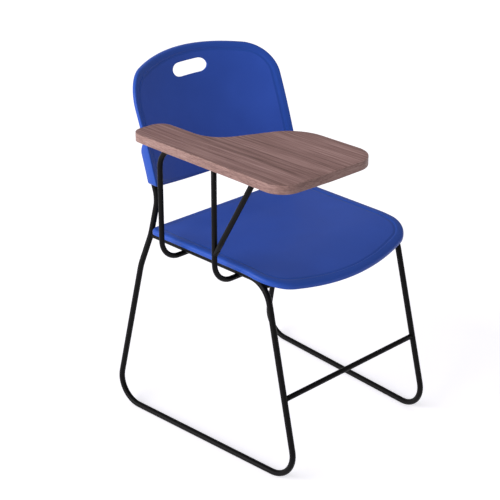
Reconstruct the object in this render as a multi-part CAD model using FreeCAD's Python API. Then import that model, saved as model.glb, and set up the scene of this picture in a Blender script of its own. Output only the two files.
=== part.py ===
"""Stacking chair with a fixed writing arm.

A moulded seat and a moulded back sit on a frame of bent solid rod. Each side of the frame is one rod:
it starts inside the back, comes down as the upright and the rear leg, turns forward as the floor
runner, rises as the front leg and runs back under the seat as the rail. A wood laminate tablet stands
over the sitter's right thigh on three thinner rods that are welded to the same frame.

Millimetres, +Z up. The origin is on the floor, midway between the side frames and midway along the
runners. The chair faces -Y, so the sitter's right, where the tablet is, is -X.
"""

import FreeCAD, Part
import math
import os

V = FreeCAD.Vector

# Side frames: sizes of the bent rod's centre line, to the corners where its straight runs would meet
frame_rod = 12.7
runner_length = 526.0
runner_front_spacing = 400.6
runner_rear_spacing = 466.0
rail_height = 414.5
rail_front_spacing = 383.6
rail_rear_spacing = 394.0
front_leg_setback = 100.3
knee_drop = 68.5
knee_spacing = 432.0
knee_setback = 75.0
waist_rise = 83.5
waist_spacing = 384.0
waist_forward = 18.4
upright_lean_deg = 18.3
foot_bend = 54.0
seat_bend = 54.0
joggle_bend = 90.0
waist_bend = 70.0

# Cross rods between the side frames
crossbar_rod = 11.1
crossbar_height = 180.6
cross_rod = 11.1
rear_cross_inset = 24.0

# Seat shell
seat_rear_width = 428.2
seat_front_width = 417.2
seat_depth = 384.8
seat_overhang = 63.1
seat_rear_gap = 16.0
seat_front_bow = 35.3
seat_corner = 69.3
seat_rear_corner = 15.0
seat_wall = 4.5
rim_rise = 11.0
rim_height = 12.0
rim_round = 6.5
lip_drop = 24.0
lip_length = 121.5
seat_dish = 8.0
seat_front_dish = 10.0
seat_dish_ease = 90.0
seat_border_inset = 15.0
border_step = 0.8
rib_thickness = 2.5
rib_pitch = 52.0
rib_field_width = 270.0
rib_field_depth = 190.0
saddle_width = 13.0
saddle_length = 210.0
saddle_drop = 0.6

# Seat fixings
tab_length = 36.0
tab_width = 22.0
tab_thickness = 2.5
tab_top_rise = 3.5
tab_front_inset = 62.0
tab_rear_inset = 62.0
tab_hole_inset = 9.0
tab_corner = 4.5
seat_boss = 15.0
seat_screw = 5.0
seat_screw_head = 10.0
seat_screw_head_height = 3.0
seat_screw_length = 13.0

# Back shell
back_width = 409.6
back_side_height = 203.1
back_dome = 25.0
back_corner = 68.0
back_lower_bow = 28.7
back_rise = 116.0
back_setback = 22.6
back_hollow = 55.4
back_hollow_gain = 5.1
back_lean_deg = 17.2
back_curl = 17.8
back_wall = 4.0
back_edge_round = 5.0
back_foot_corner = 14.0
back_border_inset = 12.0
ear_depth = 28.3
ear_width = 24.0
ear_rise = 57.0
ear_fade = 39.4
ear_cap = 7.0
flange_depth = 11.4
slot_width = 96.0
slot_height = 28.0
slot_end = 22.0
slot_drop = 42.6
rivet = 4.8
rivet_head = 9.5
rivet_head_height = 2.4
rivet_length = 13.0
rivet_rise_shares = (0.3, 0.8)
rivet_seat_depth = 1.2

# Writing tablet
tablet_outer_offset = 40.6
tablet_rear_y = 121.8
tablet_length = 427.0
tablet_arm_width = 87.1
tablet_width = 256.5
tablet_waist_y = -22.7
tablet_shoulder_y = -97.4
tablet_outer_taper = 4.9
tablet_front_taper = 6.6
tablet_front_middle_share = 0.5
arm_rear_outer_corner = 26.4
arm_rear_inner_corner = 27.9
arm_waist_round = 73.6
shoulder_round = 87.8
front_inner_corner = 55.0
front_middle_round = 500.0
front_outer_corner = 42.5
tablet_rise = 245.3
core_thickness = 15.9
laminate_thickness = 0.8
backer_thickness = 0.8
edge_band_thickness = 1.2

# Tablet supports
arm_rod = 11.1
post_spacing = 156.3
post_offset = 54.3
front_post_y = -79.9
foot_hook_bend = 44.3
post_top_bend = 48.0
arm_run_front_y = -240.0
brace_foot_rise = 49.5
brace_slope_deg = 30.3
bar_thickness = 3.0
bar_width = 24.0
bar_corner = 6.0
bar_overhang = 22.0
bar_lengths = (58.0, 150.0, 176.0)
bar_places_y = (5.0, -120.0, -222.0)
arm_screw = 4.8
arm_screw_head = 9.0
arm_screw_head_height = 2.6
arm_screw_length = 14.0
arm_screw_inset = 9.0

# Fits
weld_gap = 0.2
slide_gap = 0.3
screw_gap = 0.15

# Working values: how far cuts and curved sheets run past the pieces they shape, the smallest corner
# that an inset leaves, how near counts as touching, and the cross-sections in a curved sheet
overrun = 60.0
sheet_margin = 20.0
least_corner = 4.0
touch = 0.05
sheet_stations = 24
edge_test_shares = (0.1, 0.5, 0.9)

# Places that follow from the sizes
frame_r = frame_rod / 2
arm_r = arm_rod / 2
front_corner_y = -runner_length / 2
rear_corner_y = runner_length / 2
rail_front_y = front_corner_y + front_leg_setback
rail_length = seat_depth + seat_rear_gap - seat_overhang
rail_rear_y = rail_front_y + rail_length
knee_y = rear_corner_y - knee_setback
knee_z = rail_height - knee_drop
waist_y = rail_rear_y - waist_forward
waist_z = rail_height + waist_rise
lean = math.tan(math.radians(upright_lean_deg))
back_lean = math.tan(math.radians(back_lean_deg))
seat_rear_y = rail_rear_y - seat_rear_gap
seat_front_y = seat_rear_y - seat_depth
seat_edge_z = rail_height + rim_rise + rim_height
back_low_z = rail_height + back_rise
back_low_y = rail_rear_y + back_setback
back_high_z = back_low_z + back_side_height + back_dome
ear_top_z = back_low_z + ear_rise
upright_top_z = ear_top_z - ear_cap
tab_top_z = rail_height + tab_top_rise
post_x = -(rail_rear_spacing / 2 + post_offset)
rear_post_y = front_post_y + post_spacing
hook_z = rail_height - frame_r - weld_gap - arm_r
tablet_under_z = rail_height + tablet_rise
core_under_z = tablet_under_z + backer_thickness
core_top_z = core_under_z + core_thickness
tablet_top_z = core_top_z + laminate_thickness
arm_run_z = tablet_under_z - bar_thickness - arm_r
tablet_outer_x = post_x - tablet_outer_offset


def disc(centre, direction, diameter):
    """A round flat face, square to a direction."""
    return Part.Face(Part.Wire([Part.makeCircle(diameter / 2, centre, direction)]))


def rod_along(points, radii, diameter):
    """A solid round rod: straight runs between the points, with a bend of its own radius at each."""
    pieces = []
    start = points[0]
    for index, radius in enumerate(radii):
        before, corner, after = points[index], points[index + 1], points[index + 2]
        back, ahead = (before - corner).normalize(), (after - corner).normalize()
        half = back.getAngle(ahead) / 2
        reach = radius / math.tan(half)
        centre = corner + (back + ahead).normalize() * (radius / math.sin(half))
        axis = ahead.cross(back)
        turn = math.degrees(math.pi - 2 * half)
        bend_start = corner + back * reach
        section = disc(bend_start, back, diameter)
        pieces.append(disc(start, back, diameter).extrude(bend_start - start))
        pieces.append(section.revolve(centre, axis, turn))
        start = corner + ahead * reach
    pieces.append(disc(start, points[-1] - start, diameter).extrude(points[-1] - start))
    return pieces[0].multiFuse(pieces[1:])


def straight_rod(start, end, diameter):
    """A solid round rod from one point to another."""
    run = end - start
    return Part.makeCylinder(diameter / 2, run.Length, start, run)


def block(low, high):
    """A box given by its lowest and highest corners."""
    size = high - low
    return Part.makeBox(size.x, size.y, size.z, low)


def upright_point(side, z):
    """The upright's centre line above its waist, at a given height."""
    return V(side * waist_spacing / 2, waist_y + (z - waist_z) * lean, z)


def side_frame_points(side):
    """Corners of one side frame's centre line, from inside the back round to the rail's rear end."""
    return [
        upright_point(side, upright_top_z),
        V(side * waist_spacing / 2, waist_y, waist_z),
        V(side * rail_rear_spacing / 2, rail_rear_y, rail_height),
        V(side * knee_spacing / 2, knee_y, knee_z),
        V(side * runner_rear_spacing / 2, rear_corner_y, frame_r),
        V(side * runner_front_spacing / 2, front_corner_y, frame_r),
        V(side * rail_front_spacing / 2, rail_front_y, rail_height),
    ]


def side_rail_end(side):
    """Centre of the rail's rear end, where it meets the front of the rear leg."""
    points = side_frame_points(side)
    rear, front = points[2], points[6]
    return rear + (front - rear).normalize() * (frame_r + weld_gap)


def side_frame_sweep(side, diameter):
    """One side frame's bent path as a rod of a given diameter."""
    radii = [waist_bend, joggle_bend, joggle_bend, foot_bend, foot_bend, seat_bend]
    return rod_along(side_frame_points(side) + [side_rail_end(side)], radii, diameter)


def side_frame(side):
    """One side frame: a single bent rod, its rail welded back to its own rear leg."""
    rod = side_frame_sweep(side, frame_rod)
    for seat, axis in rivet_places(side):
        start = seat - axis * rivet_length
        rod = rod.cut(Part.makeCylinder(rivet / 2 + screw_gap, rivet_length + overrun, start, axis))
    return rod


def front_leg_point(side, z):
    """The front leg's centre line at a given height."""
    foot, top = side_frame_points(side)[5:7]
    return foot + (top - foot) * ((z - foot.z) / (top.z - foot.z))


def rail_point(side, y):
    """The rail's centre line at a given distance along the chair."""
    rear, front = side_frame_points(side)[2], side_frame_points(side)[6]
    return rear + (front - rear) * ((y - rear.y) / (front.y - rear.y))


def coped(shape, cutters):
    """A piece whose ends are shaped to the rods it is welded to."""
    for cutter in cutters:
        shape = shape.cut(cutter)
    return max(shape.Solids, key=lambda solid: solid.Volume)


def front_crossbar(cutters):
    """The thin bar between the front legs."""
    ends = [front_leg_point(side, crossbar_height) for side in (-1, 1)]
    return coped(straight_rod(ends[0], ends[1], crossbar_rod), cutters)


def seat_bend_apex(side):
    """The inside of the bend between the front leg and the rail."""
    foot, corner = side_frame_points(side)[5:7]
    rear = side_frame_points(side)[2]
    down, back = (foot - corner).normalize(), (rear - corner).normalize()
    half = down.getAngle(back) / 2
    return corner + (down + back).normalize() * (seat_bend / math.sin(half) - seat_bend)


def seat_front_cross_rod(cutters):
    """The rod that joins the side frames inside their front bends, under the seat's lip."""
    return coped(straight_rod(seat_bend_apex(-1), seat_bend_apex(1), cross_rod), cutters)


def seat_rear_cross_rod(cutters):
    """The rod that joins the rails under the rear of the seat."""
    y = rail_rear_y - rear_cross_inset
    return coped(straight_rod(rail_point(-1, y), rail_point(1, y), cross_rod), cutters)


def seat_lip_fall(y):
    """How much of the seat's lip is passed at a place along the chair: none behind the lip."""
    return max(seat_front_y + lip_length - y, 0) / lip_length


def seat_dish_at(y):
    """Depth of the dish across the seat: it grows from the level rear edge and changes along the lip."""
    behind = min(max(seat_rear_y - y, 0) / seat_dish_ease, 1)
    lip = (seat_front_dish - seat_dish) * min(seat_lip_fall(y), 1)
    return seat_dish * math.sin(math.pi / 2 * behind) ** 2 + lip


def seat_top_sheet():
    """The seat's upper surface: dished across, level along, with a lip that falls towards the front."""
    half = seat_rear_width / 2 + sheet_margin
    first, last = seat_rear_y + sheet_margin, seat_front_y - sheet_margin
    sections = []
    for station in range(sheet_stations + 1):
        y = first + (last - first) * station / sheet_stations
        dish = seat_dish_at(y)
        rim_z = seat_edge_z - lip_drop * seat_lip_fall(y) ** 2
        edge_z = rim_z + dish * ((half / (seat_rear_width / 2)) ** 2 - 1)
        if dish > touch:
            section = Part.Arc(V(-half, y, edge_z), V(0, y, rim_z - dish), V(half, y, edge_z)).toShape()
        else:
            section = Part.makeLine(V(-half, y, rim_z), V(half, y, rim_z))
        sections.append(Part.Wire([section]))
    return Part.makeLoft(sections, False, False).Faces[0]


def edges_along(shape, axis, wanted):
    """Straight edges of a shape along an axis whose first end passes a test."""
    found = []
    for edge in shape.Edges:
        first, last = edge.Vertexes[0].Point, edge.Vertexes[-1].Point
        run = last - first
        if run.Length > touch and run.cross(axis).Length < touch * run.Length and wanted(first):
            found.append(edge)
    return found


def edges_on(shape, sheet):
    """Edges of a shape that lie on a sheet."""
    found = []
    for edge in shape.Edges:
        low, high = edge.ParameterRange
        points = [edge.valueAt(low + (high - low) * share) for share in edge_test_shares]
        if all(sheet.distToShape(Part.Vertex(point))[0] < touch for point in points):
            found.append(edge)
    return found


def seat_outline(inset):
    """The seat in plan, drawn in by an inset all round: straight sides and a bowed front."""
    rear_half = seat_rear_width / 2 - inset
    front_half = seat_front_width / 2 - inset
    rear = seat_rear_y - inset
    front_side = seat_front_y + seat_front_bow + inset
    front_middle = seat_front_y + inset
    z = rail_height - overrun
    corners = [V(-rear_half, rear, z), V(-front_half, front_side, z)]
    corners += [V(front_half, front_side, z), V(rear_half, rear, z)]
    edges = [
        Part.makeLine(corners[0], corners[1]),
        Part.Arc(corners[1], V(0, front_middle, z), corners[2]).toShape(),
        Part.makeLine(corners[2], corners[3]),
        Part.makeLine(corners[3], corners[0]),
    ]
    up = V(0, 0, 2 * overrun + rim_rise + rim_height)
    prism = Part.Face(Part.Wire(edges)).extrude(up)
    front_edges = edges_along(prism, up, lambda p: p.y < front_side + touch)
    prism = prism.makeFillet(seat_corner - inset, front_edges)
    rear_edges = edges_along(prism, up, lambda p: abs(p.y - rear) < touch)
    return prism.makeFillet(max(seat_rear_corner - inset, least_corner), rear_edges)


def seat_tab_places():
    """Side and y of the four tabs that hold the seat."""
    front = rail_front_y + tab_front_inset
    rear = rail_rear_y - tab_rear_inset
    return [("front", -1, front), ("front", 1, front), ("rear", -1, rear), ("rear", 1, rear)]


def seat_hole_x(side, y):
    """Where a tab's screw goes through it."""
    return side * (abs(rail_point(side, y).x) - tab_length + tab_hole_inset)


def seat_ribs():
    """The lattice of ribs under the seat."""
    ribs = []
    middle_y = (seat_front_y + lip_length + seat_rear_y) / 2
    low_z, high_z = rail_height - overrun, seat_edge_z + overrun
    half_x, half_y = rib_field_width / 2, rib_field_depth / 2
    count_x = int(half_x // rib_pitch)
    count_y = int(half_y // rib_pitch)
    for step in range(-count_x, count_x + 1):
        x = step * rib_pitch
        low = V(x - rib_thickness / 2, middle_y - half_y, low_z)
        ribs.append(block(low, V(x + rib_thickness / 2, middle_y + half_y, high_z)))
    for step in range(-count_y, count_y + 1):
        y = middle_y + step * rib_pitch
        low = V(-half_x, y - rib_thickness / 2, low_z)
        ribs.append(block(low, V(half_x, y + rib_thickness / 2, high_z)))
    return ribs


def seat_feet(sheet):
    """The bosses over the tabs and the saddles over the rails, up into the seat's wall."""
    feet = []
    for _, side, y in seat_tab_places():
        centre = V(seat_hole_x(side, y), y, tab_top_z)
        feet.append(Part.makeCylinder(seat_boss / 2, overrun, centre))
    saddle_y = (rail_front_y + seat_bend + rail_rear_y) / 2
    for side in (-1, 1):
        x = rail_point(side, saddle_y).x
        low = V(x - saddle_width / 2, saddle_y - saddle_length / 2, rail_height + frame_r - saddle_drop)
        feet.append(block(low, V(x + saddle_width / 2, saddle_y + saddle_length / 2, low.z + overrun)))
    drop = rim_height - seat_wall / 2
    under = sheet.translated(V(0, 0, -seat_wall / 2)).extrude(V(0, 0, -drop - overrun))
    return [foot.common(under) for foot in feet]


def seat_shell(frames):
    """The seat: a dished moulding with a rounded rim all round, ribs, bosses and rail saddles below."""
    sheet = seat_top_sheet()
    outer = seat_outline(0).common(sheet.extrude(V(0, 0, -rim_height)))
    outer = outer.makeFillet(rim_round, edges_on(outer, sheet))
    cavity = seat_outline(seat_wall).common(
        sheet.translated(V(0, 0, -seat_wall)).extrude(V(0, 0, -overrun))
    )
    for rib in seat_ribs():
        cavity = cavity.cut(rib)
    shell = outer.cut(cavity)
    for foot in seat_feet(sheet):
        shell = shell.fuse(foot)
    border = seat_outline(seat_border_inset).common(sheet.extrude(V(0, 0, -border_step)))
    shell = shell.cut(border)
    for frame in frames:
        shell = shell.cut(frame)
    for _, side, y in seat_tab_places():
        centre = V(seat_hole_x(side, y), y, tab_top_z)
        depth = seat_screw_length - tab_thickness + screw_gap
        shell = shell.cut(Part.makeCylinder(seat_screw / 2 + screw_gap, depth, centre))
    return shell


def seat_tab(side, y, cutters):
    """One flat tab, welded to the inner side of a rail, with a hole for a seat screw."""
    x_rail = abs(rail_point(side, y).x)
    free = side * (x_rail - tab_length)
    xs = sorted((side * x_rail, free))
    low = V(xs[0], y - tab_width / 2, tab_top_z - tab_thickness)
    tab = block(low, V(xs[1], y + tab_width / 2, tab_top_z))
    tab = tab.makeFillet(tab_corner, edges_along(tab, V(0, 0, 1), lambda p: abs(p.x - free) < touch))
    start = V(seat_hole_x(side, y), y, low.z - tab_thickness)
    hole = Part.makeCylinder(seat_screw / 2 + screw_gap, overrun, start)
    return coped(tab.cut(hole), cutters)


def pan_screw(seat, axis, shank, length, head, head_height):
    """A screw whose pan head bears on the point seat and whose shank runs along the axis."""
    body = Part.makeCylinder(shank / 2, length, seat, axis)
    brim = Part.makeCylinder(head / 2, head_height / 2, seat - axis * (head_height / 2), axis)
    crown_seat = seat - axis * (head_height / 2)
    crown = Part.makeCone(head / 2, head / 2 - head_height / 2, head_height / 2, crown_seat, axis * -1)
    return brim.fuse(crown).fuse(body)


def seat_screws():
    """The four screws that come up through the tabs into the seat's bosses."""
    up = V(0, 0, 1)
    under = tab_top_z - tab_thickness
    places = [V(seat_hole_x(side, y), y, under) for _, side, y in seat_tab_places()]
    return [
        pan_screw(place, up, seat_screw, seat_screw_length, seat_screw_head, seat_screw_head_height)
        for place in places
    ]


def back_face_y(x, z):
    """The back's front surface: leaning, curling rearwards as it rises, and hollow across."""
    rise = (z - back_low_z) / (back_high_z - back_low_z)
    middle = back_low_y + (z - back_low_z) * back_lean + back_curl * rise * rise
    hollow = back_hollow + back_hollow_gain * rise
    return middle - hollow * (x / (back_width / 2)) ** 2


def even_depth(depth):
    """A depth behind the back's front surface that is the same at every height."""
    return lambda z: depth


def ear_depth_at(z):
    """Depth of the back's side walls: even beside the sockets, then easing up to the flange's depth."""
    above = min(max(z - ear_top_z, 0) / ear_fade, 1)
    return ear_depth + (flange_depth - ear_depth) * (1 - math.cos(math.pi * above)) / 2


def back_sheet(depth_at):
    """A sheet that follows the back's front surface at a depth behind it."""
    half = back_width / 2 + sheet_margin
    first, last = back_low_z - back_lower_bow - sheet_margin, back_high_z + sheet_margin
    sections = []
    for station in range(sheet_stations + 1):
        z = first + (last - first) * station / sheet_stations
        behind = depth_at(z)
        edge, middle = back_face_y(half, z) + behind, back_face_y(0, z) + behind
        arc = Part.Arc(V(-half, edge, z), V(0, middle, z), V(half, edge, z))
        sections.append(Part.Wire([arc.toShape()]))
    return Part.makeLoft(sections, False, False).Faces[0]


def back_outline(inset):
    """The back seen from the front, drawn in by an inset: a bowed foot and a domed top."""
    half = back_width / 2 - inset
    low, low_middle = back_low_z + inset, back_low_z - back_lower_bow + inset
    high_side, high = back_low_z + back_side_height - inset, back_high_z - inset
    near, far = back_face_y(half, low_middle) - overrun, back_face_y(0, high) + overrun
    corners = [V(-half, near, low), V(half, near, low)]
    corners += [V(half, near, high_side), V(-half, near, high_side)]
    edges = [
        Part.Arc(corners[0], V(0, near, low_middle), corners[1]).toShape(),
        Part.makeLine(corners[1], corners[2]),
        Part.Arc(corners[2], V(0, near, high), corners[3]).toShape(),
        Part.makeLine(corners[3], corners[0]),
    ]
    rearwards = V(0, far - near, 0)
    prism = Part.Face(Part.Wire(edges)).extrude(rearwards)
    high_edges = edges_along(prism, rearwards, lambda p: p.z > high_side - touch)
    prism = prism.makeFillet(back_corner - inset, high_edges)
    low_edges = edges_along(prism, rearwards, lambda p: abs(p.z - low) < touch)
    return prism.makeFillet(max(back_foot_corner - inset, least_corner), low_edges)


def hand_slot():
    """The hand hole through the top of the back: two flats joined by half ellipses."""
    half = slot_height / 2
    reach = slot_width / 2 - slot_end
    z = back_high_z - slot_drop
    near, far = back_face_y(slot_width / 2, z) - overrun, back_face_y(0, z) + overrun
    ends = []
    for side, start in ((1, -math.pi / 2), (-1, math.pi / 2)):
        centre = V(side * reach, near, z)
        ellipse = Part.Ellipse(centre + V(slot_end, 0, 0), centre + V(0, 0, half), centre)
        ends.append(Part.ArcOfEllipse(ellipse, start, start + math.pi).toShape())
    top = Part.makeLine(V(reach, near, z + half), V(-reach, near, z + half))
    foot = Part.makeLine(V(-reach, near, z - half), V(reach, near, z - half))
    outline = Part.Face(Part.Wire([ends[0], top, ends[1], foot]))
    return outline.extrude(V(0, far - near, 0))


def rivet_places(side):
    """Seat point and inward axis of each rivet that holds the back to an upright."""
    places = []
    axis = V(0, -1, lean).normalize()
    for share in rivet_rise_shares:
        on_rod = upright_point(side, back_low_z + (upright_top_z - back_low_z) * share)
        behind = back_face_y(on_rod.x, on_rod.z) + ear_depth_at(on_rod.z) - on_rod.y
        seat = on_rod - axis * (behind * math.cos(math.atan(lean)) - rivet_seat_depth)
        places.append((seat, axis))
    return places


def back_shell():
    """The back: a hollow-faced moulding whose side walls thicken into sockets for the uprights."""
    front = back_sheet(even_depth(0))
    rear = back_sheet(ear_depth_at)
    deep = V(0, overrun, 0)
    outer = back_outline(0).common(front.extrude(deep)).cut(rear.extrude(deep))
    outer = outer.makeFillet(back_edge_round, edges_on(outer, front))
    inner_x = back_width / 2 - ear_width
    cavity = back_outline(back_wall).common(back_sheet(even_depth(back_wall)).extrude(2 * deep))
    for side in (-1, 1):
        xs = sorted((side * inner_x, side * back_width))
        cavity = cavity.cut(block(V(xs[0], -back_width, 0), V(xs[1], back_width, ear_top_z)))
    shell = outer.cut(cavity)
    trim = back_sheet(even_depth(flange_depth)).extrude(2 * deep)
    between = block(V(-inner_x, -back_width, 0), V(inner_x, back_width, back_high_z))
    shell = shell.cut(trim.common(between))
    shell = shell.cut(hand_slot())
    border = back_outline(back_border_inset).common(front.extrude(V(0, border_step, 0)))
    shell = shell.cut(border)
    for side in (-1, 1):
        low = upright_point(side, waist_z)
        high = upright_point(side, upright_top_z + slide_gap)
        shell = shell.cut(straight_rod(low, high, frame_rod + 2 * slide_gap))
        for seat, axis in rivet_places(side):
            hole = Part.makeCylinder(rivet / 2 + screw_gap, rivet_length, seat, axis)
            sink = Part.makeCylinder(rivet_head / 2 + slide_gap, overrun, seat, axis * -1)
            shell = shell.cut(hole).cut(sink)
    return shell


def back_rivets():
    """The rivets through the sockets' rear walls into the uprights."""
    rivets = []
    for side in (-1, 1):
        for seat, axis in rivet_places(side):
            rivets.append(pan_screw(seat, axis, rivet, rivet_length, rivet_head, rivet_head_height))
    return rivets


def tablet_outline(inset, low_z, thickness):
    """The paddle-shaped tablet: a narrow arm rest that widens through an S curve to the writing end."""
    outer = tablet_outer_x
    arm_x = outer + tablet_arm_width
    inner = outer + tablet_width
    front = tablet_rear_y - tablet_length
    corners = [
        V(outer + tablet_outer_taper, tablet_rear_y, low_z),
        V(arm_x, tablet_rear_y, low_z),
        V(arm_x, tablet_waist_y, low_z),
        V(inner, tablet_shoulder_y, low_z),
        V(inner, front, low_z),
        V(inner + (outer - inner) * tablet_front_middle_share, front, low_z),
        V(outer, front + tablet_front_taper, low_z),
    ]
    radii = [arm_rear_outer_corner, arm_rear_inner_corner, arm_waist_round, shoulder_round]
    radii += [front_inner_corner, front_middle_round, front_outer_corner]
    closed = corners[-1:] + corners + corners[:1]
    edges = []
    ends = []
    for index, radius in enumerate(radii):
        before, corner, after = closed[index], closed[index + 1], closed[index + 2]
        a, b = (before - corner).normalize(), (after - corner).normalize()
        half = a.getAngle(b) / 2
        reach = radius / math.tan(half)
        bisector = (a + b).normalize()
        middle = corner + bisector * (radius / math.sin(half) - radius)
        ends.append((corner + a * reach, middle, corner + b * reach))
    for index, (start, middle, end) in enumerate(ends):
        edges.append(Part.Arc(start, middle, end).toShape())
        edges.append(Part.makeLine(end, ends[(index + 1) % len(ends)][0]))
    face = Part.Face(Part.Wire(edges))
    if inset > 0:
        face = face.makeOffset2D(-inset)
    return face.extrude(V(0, 0, thickness))


def bar_screw_places(index):
    """Where the two screws of one mounting bar come up through it into the tablet."""
    start, length = post_x - bar_overhang, bar_lengths[index]
    xs = (start + arm_screw_inset, start + length - arm_screw_inset)
    return [V(x, bar_places_y[index], tablet_under_z - bar_thickness) for x in xs]


def arm_screw_places():
    """Where every tablet screw goes, bar by bar."""
    return [place for index in range(len(bar_lengths)) for place in bar_screw_places(index)]


def tablet_core():
    """The board inside the tablet, with a pilot hole for each screw."""
    core = tablet_outline(edge_band_thickness, core_under_z, core_thickness)
    hole = arm_screw / 2 + screw_gap
    for place in arm_screw_places():
        core = core.cut(Part.makeCylinder(hole, arm_screw_length + screw_gap, place))
    return core


def tablet_laminate():
    """The wood-pattern laminate on top of the board."""
    return tablet_outline(edge_band_thickness, core_top_z, laminate_thickness)


def tablet_backer():
    """The plain sheet under the board, with the screws' holes through it."""
    sheet = tablet_outline(edge_band_thickness, tablet_under_z, backer_thickness)
    for place in arm_screw_places():
        sheet = sheet.cut(Part.makeCylinder(arm_screw / 2 + screw_gap, arm_screw_length, place))
    return sheet


def tablet_edge_band():
    """The band round the tablet's edge."""
    height = tablet_top_z - tablet_under_z
    whole = tablet_outline(0, tablet_under_z, height)
    return whole.cut(tablet_outline(edge_band_thickness, tablet_under_z, height))


def hook_end_x():
    """Where the tablet's rods end, just past the rail on the other side of the chair."""
    return rail_front_spacing / 2 + frame_rod


def tablet_rear_rod(diameter):
    """One rod: across under both rails, up as the rear post, and forward under the tablet."""
    points = [
        V(hook_end_x(), rear_post_y, hook_z),
        V(post_x, rear_post_y, hook_z),
        V(post_x, rear_post_y, arm_run_z),
        V(post_x, arm_run_front_y, arm_run_z),
    ]
    return rod_along(points, [foot_hook_bend, post_top_bend], diameter)


def tablet_front_rod(diameter):
    """One rod: across under both rails and straight up to the run under the tablet."""
    points = [
        V(hook_end_x(), front_post_y, hook_z),
        V(post_x, front_post_y, hook_z),
        V(post_x, front_post_y, arm_run_z),
    ]
    return rod_along(points, [foot_hook_bend], diameter)


def tablet_brace_rod():
    """The slanting rod from the front post's foot to the run under the tablet."""
    foot_z = rail_height + brace_foot_rise
    rise = arm_run_z - foot_z
    foot = V(post_x, front_post_y, foot_z)
    top = V(post_x, front_post_y - rise * math.tan(math.radians(brace_slope_deg)), arm_run_z)
    return straight_rod(foot, top, arm_rod)


def tablet_bar(index):
    """One flat bar between the run and the tablet, drilled for two screws."""
    y, length = bar_places_y[index], bar_lengths[index]
    start = post_x - bar_overhang
    low = V(start, y - bar_width / 2, tablet_under_z - bar_thickness)
    bar = block(low, V(start + length, y + bar_width / 2, tablet_under_z))
    bar = bar.makeFillet(bar_corner, edges_along(bar, V(0, 0, 1), lambda p: True))
    for place in bar_screw_places(index):
        hole = Part.makeCylinder(arm_screw / 2 + screw_gap, overrun, place - V(0, 0, bar_thickness))
        bar = bar.cut(hole)
    return bar


def tablet_screws():
    """The screws that hold the tablet to its bars."""
    up = V(0, 0, 1)
    return [
        pan_screw(place, up, arm_screw, arm_screw_length, arm_screw_head, arm_screw_head_height)
        for place in arm_screw_places()
    ]


def save(name, shape):
    """Write one node's solids."""
    solids = shape if isinstance(shape, list) else shape.Solids
    whole = solids[0] if len(solids) == 1 else Part.makeCompound(solids)
    whole.exportStep(os.path.join("parts", name + ".step"))
    valid = all(solid.isValid() for solid in solids)
    print(name, len(solids), "solids", round(whole.Volume), "mm3", "valid" if valid else "INVALID")


def main():
    """Build every piece of the chair and write it."""
    os.makedirs("parts", exist_ok=True)
    frames = [side_frame(-1), side_frame(1)]
    frame_cutters = [side_frame_sweep(side, frame_rod + 2 * weld_gap) for side in (-1, 1)]
    save("right_side_frame", frames[0])
    save("left_side_frame", frames[1])
    save("front_crossbar", front_crossbar(frame_cutters))
    save("seat_front_cross_rod", seat_front_cross_rod(frame_cutters))
    save("seat_rear_cross_rod", seat_rear_cross_rod(frame_cutters))
    for end, side, y in seat_tab_places():
        hand = "right" if side < 0 else "left"
        save("seat_tab_" + end + "_" + hand, seat_tab(side, y, frame_cutters))
    save("seat_shell", seat_shell(frames))
    save("seat_screws", seat_screws())
    save("back_shell", back_shell())
    save("back_rivets", back_rivets())
    save("tablet_core", tablet_core())
    save("tablet_laminate", tablet_laminate())
    save("tablet_backer", tablet_backer())
    save("tablet_edge_band", tablet_edge_band())
    run_cutter = tablet_rear_rod(arm_rod + 2 * weld_gap)
    post_cutter = tablet_front_rod(arm_rod + 2 * weld_gap)
    save("tablet_rear_rod", tablet_rear_rod(arm_rod))
    save("tablet_front_rod", coped(tablet_front_rod(arm_rod), [run_cutter]))
    save("tablet_brace_rod", coped(tablet_brace_rod(), [run_cutter, post_cutter]))
    for index, place in enumerate(("rear", "middle", "front")):
        save("tablet_bar_" + place, tablet_bar(index))
    save("tablet_screws", tablet_screws())


main()
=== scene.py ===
"""Looks of a stacking chair with a fixed writing arm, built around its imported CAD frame.

Sizes are in millimetres, in the frame of the CAD part: +Z up, the sitter faces -Y, the tablet is on
-X, and the origin is on the floor between the side frames. put_piece turns them to metres.
"""

from __future__ import annotations

import logging
import math
from dataclasses import dataclass, replace
from enum import Enum

import bpy
import numpy as np
from bpy.types import Material, Node, NodeSocket, NodeTree
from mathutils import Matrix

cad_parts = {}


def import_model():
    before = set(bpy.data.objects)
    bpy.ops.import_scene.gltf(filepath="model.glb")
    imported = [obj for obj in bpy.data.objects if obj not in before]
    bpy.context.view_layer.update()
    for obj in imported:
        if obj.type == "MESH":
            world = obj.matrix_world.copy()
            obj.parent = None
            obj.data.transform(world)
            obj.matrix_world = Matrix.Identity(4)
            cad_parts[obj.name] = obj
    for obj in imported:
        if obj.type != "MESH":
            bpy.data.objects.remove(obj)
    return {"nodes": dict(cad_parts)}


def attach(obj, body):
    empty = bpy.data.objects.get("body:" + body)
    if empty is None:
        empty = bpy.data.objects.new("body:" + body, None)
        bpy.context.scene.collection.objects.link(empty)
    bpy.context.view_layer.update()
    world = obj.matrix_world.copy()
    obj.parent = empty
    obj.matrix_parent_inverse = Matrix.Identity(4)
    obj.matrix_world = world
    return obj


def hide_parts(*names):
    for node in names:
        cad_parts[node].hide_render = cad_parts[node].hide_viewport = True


LOG = logging.getLogger("chair")
METRES_PER_MM = 0.001
BODY = "root"
X_AXIS, Y_AXIS, Z_AXIS = np.eye(3)

# A round drawn with three points has its middle one this share of its radius in from the corner
ROUND_MIDDLE = 0.3

# Points of a skin, N by 3 in millimetres, and the point numbers of each face
Skin = tuple[np.ndarray, list[list[int]]]


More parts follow.
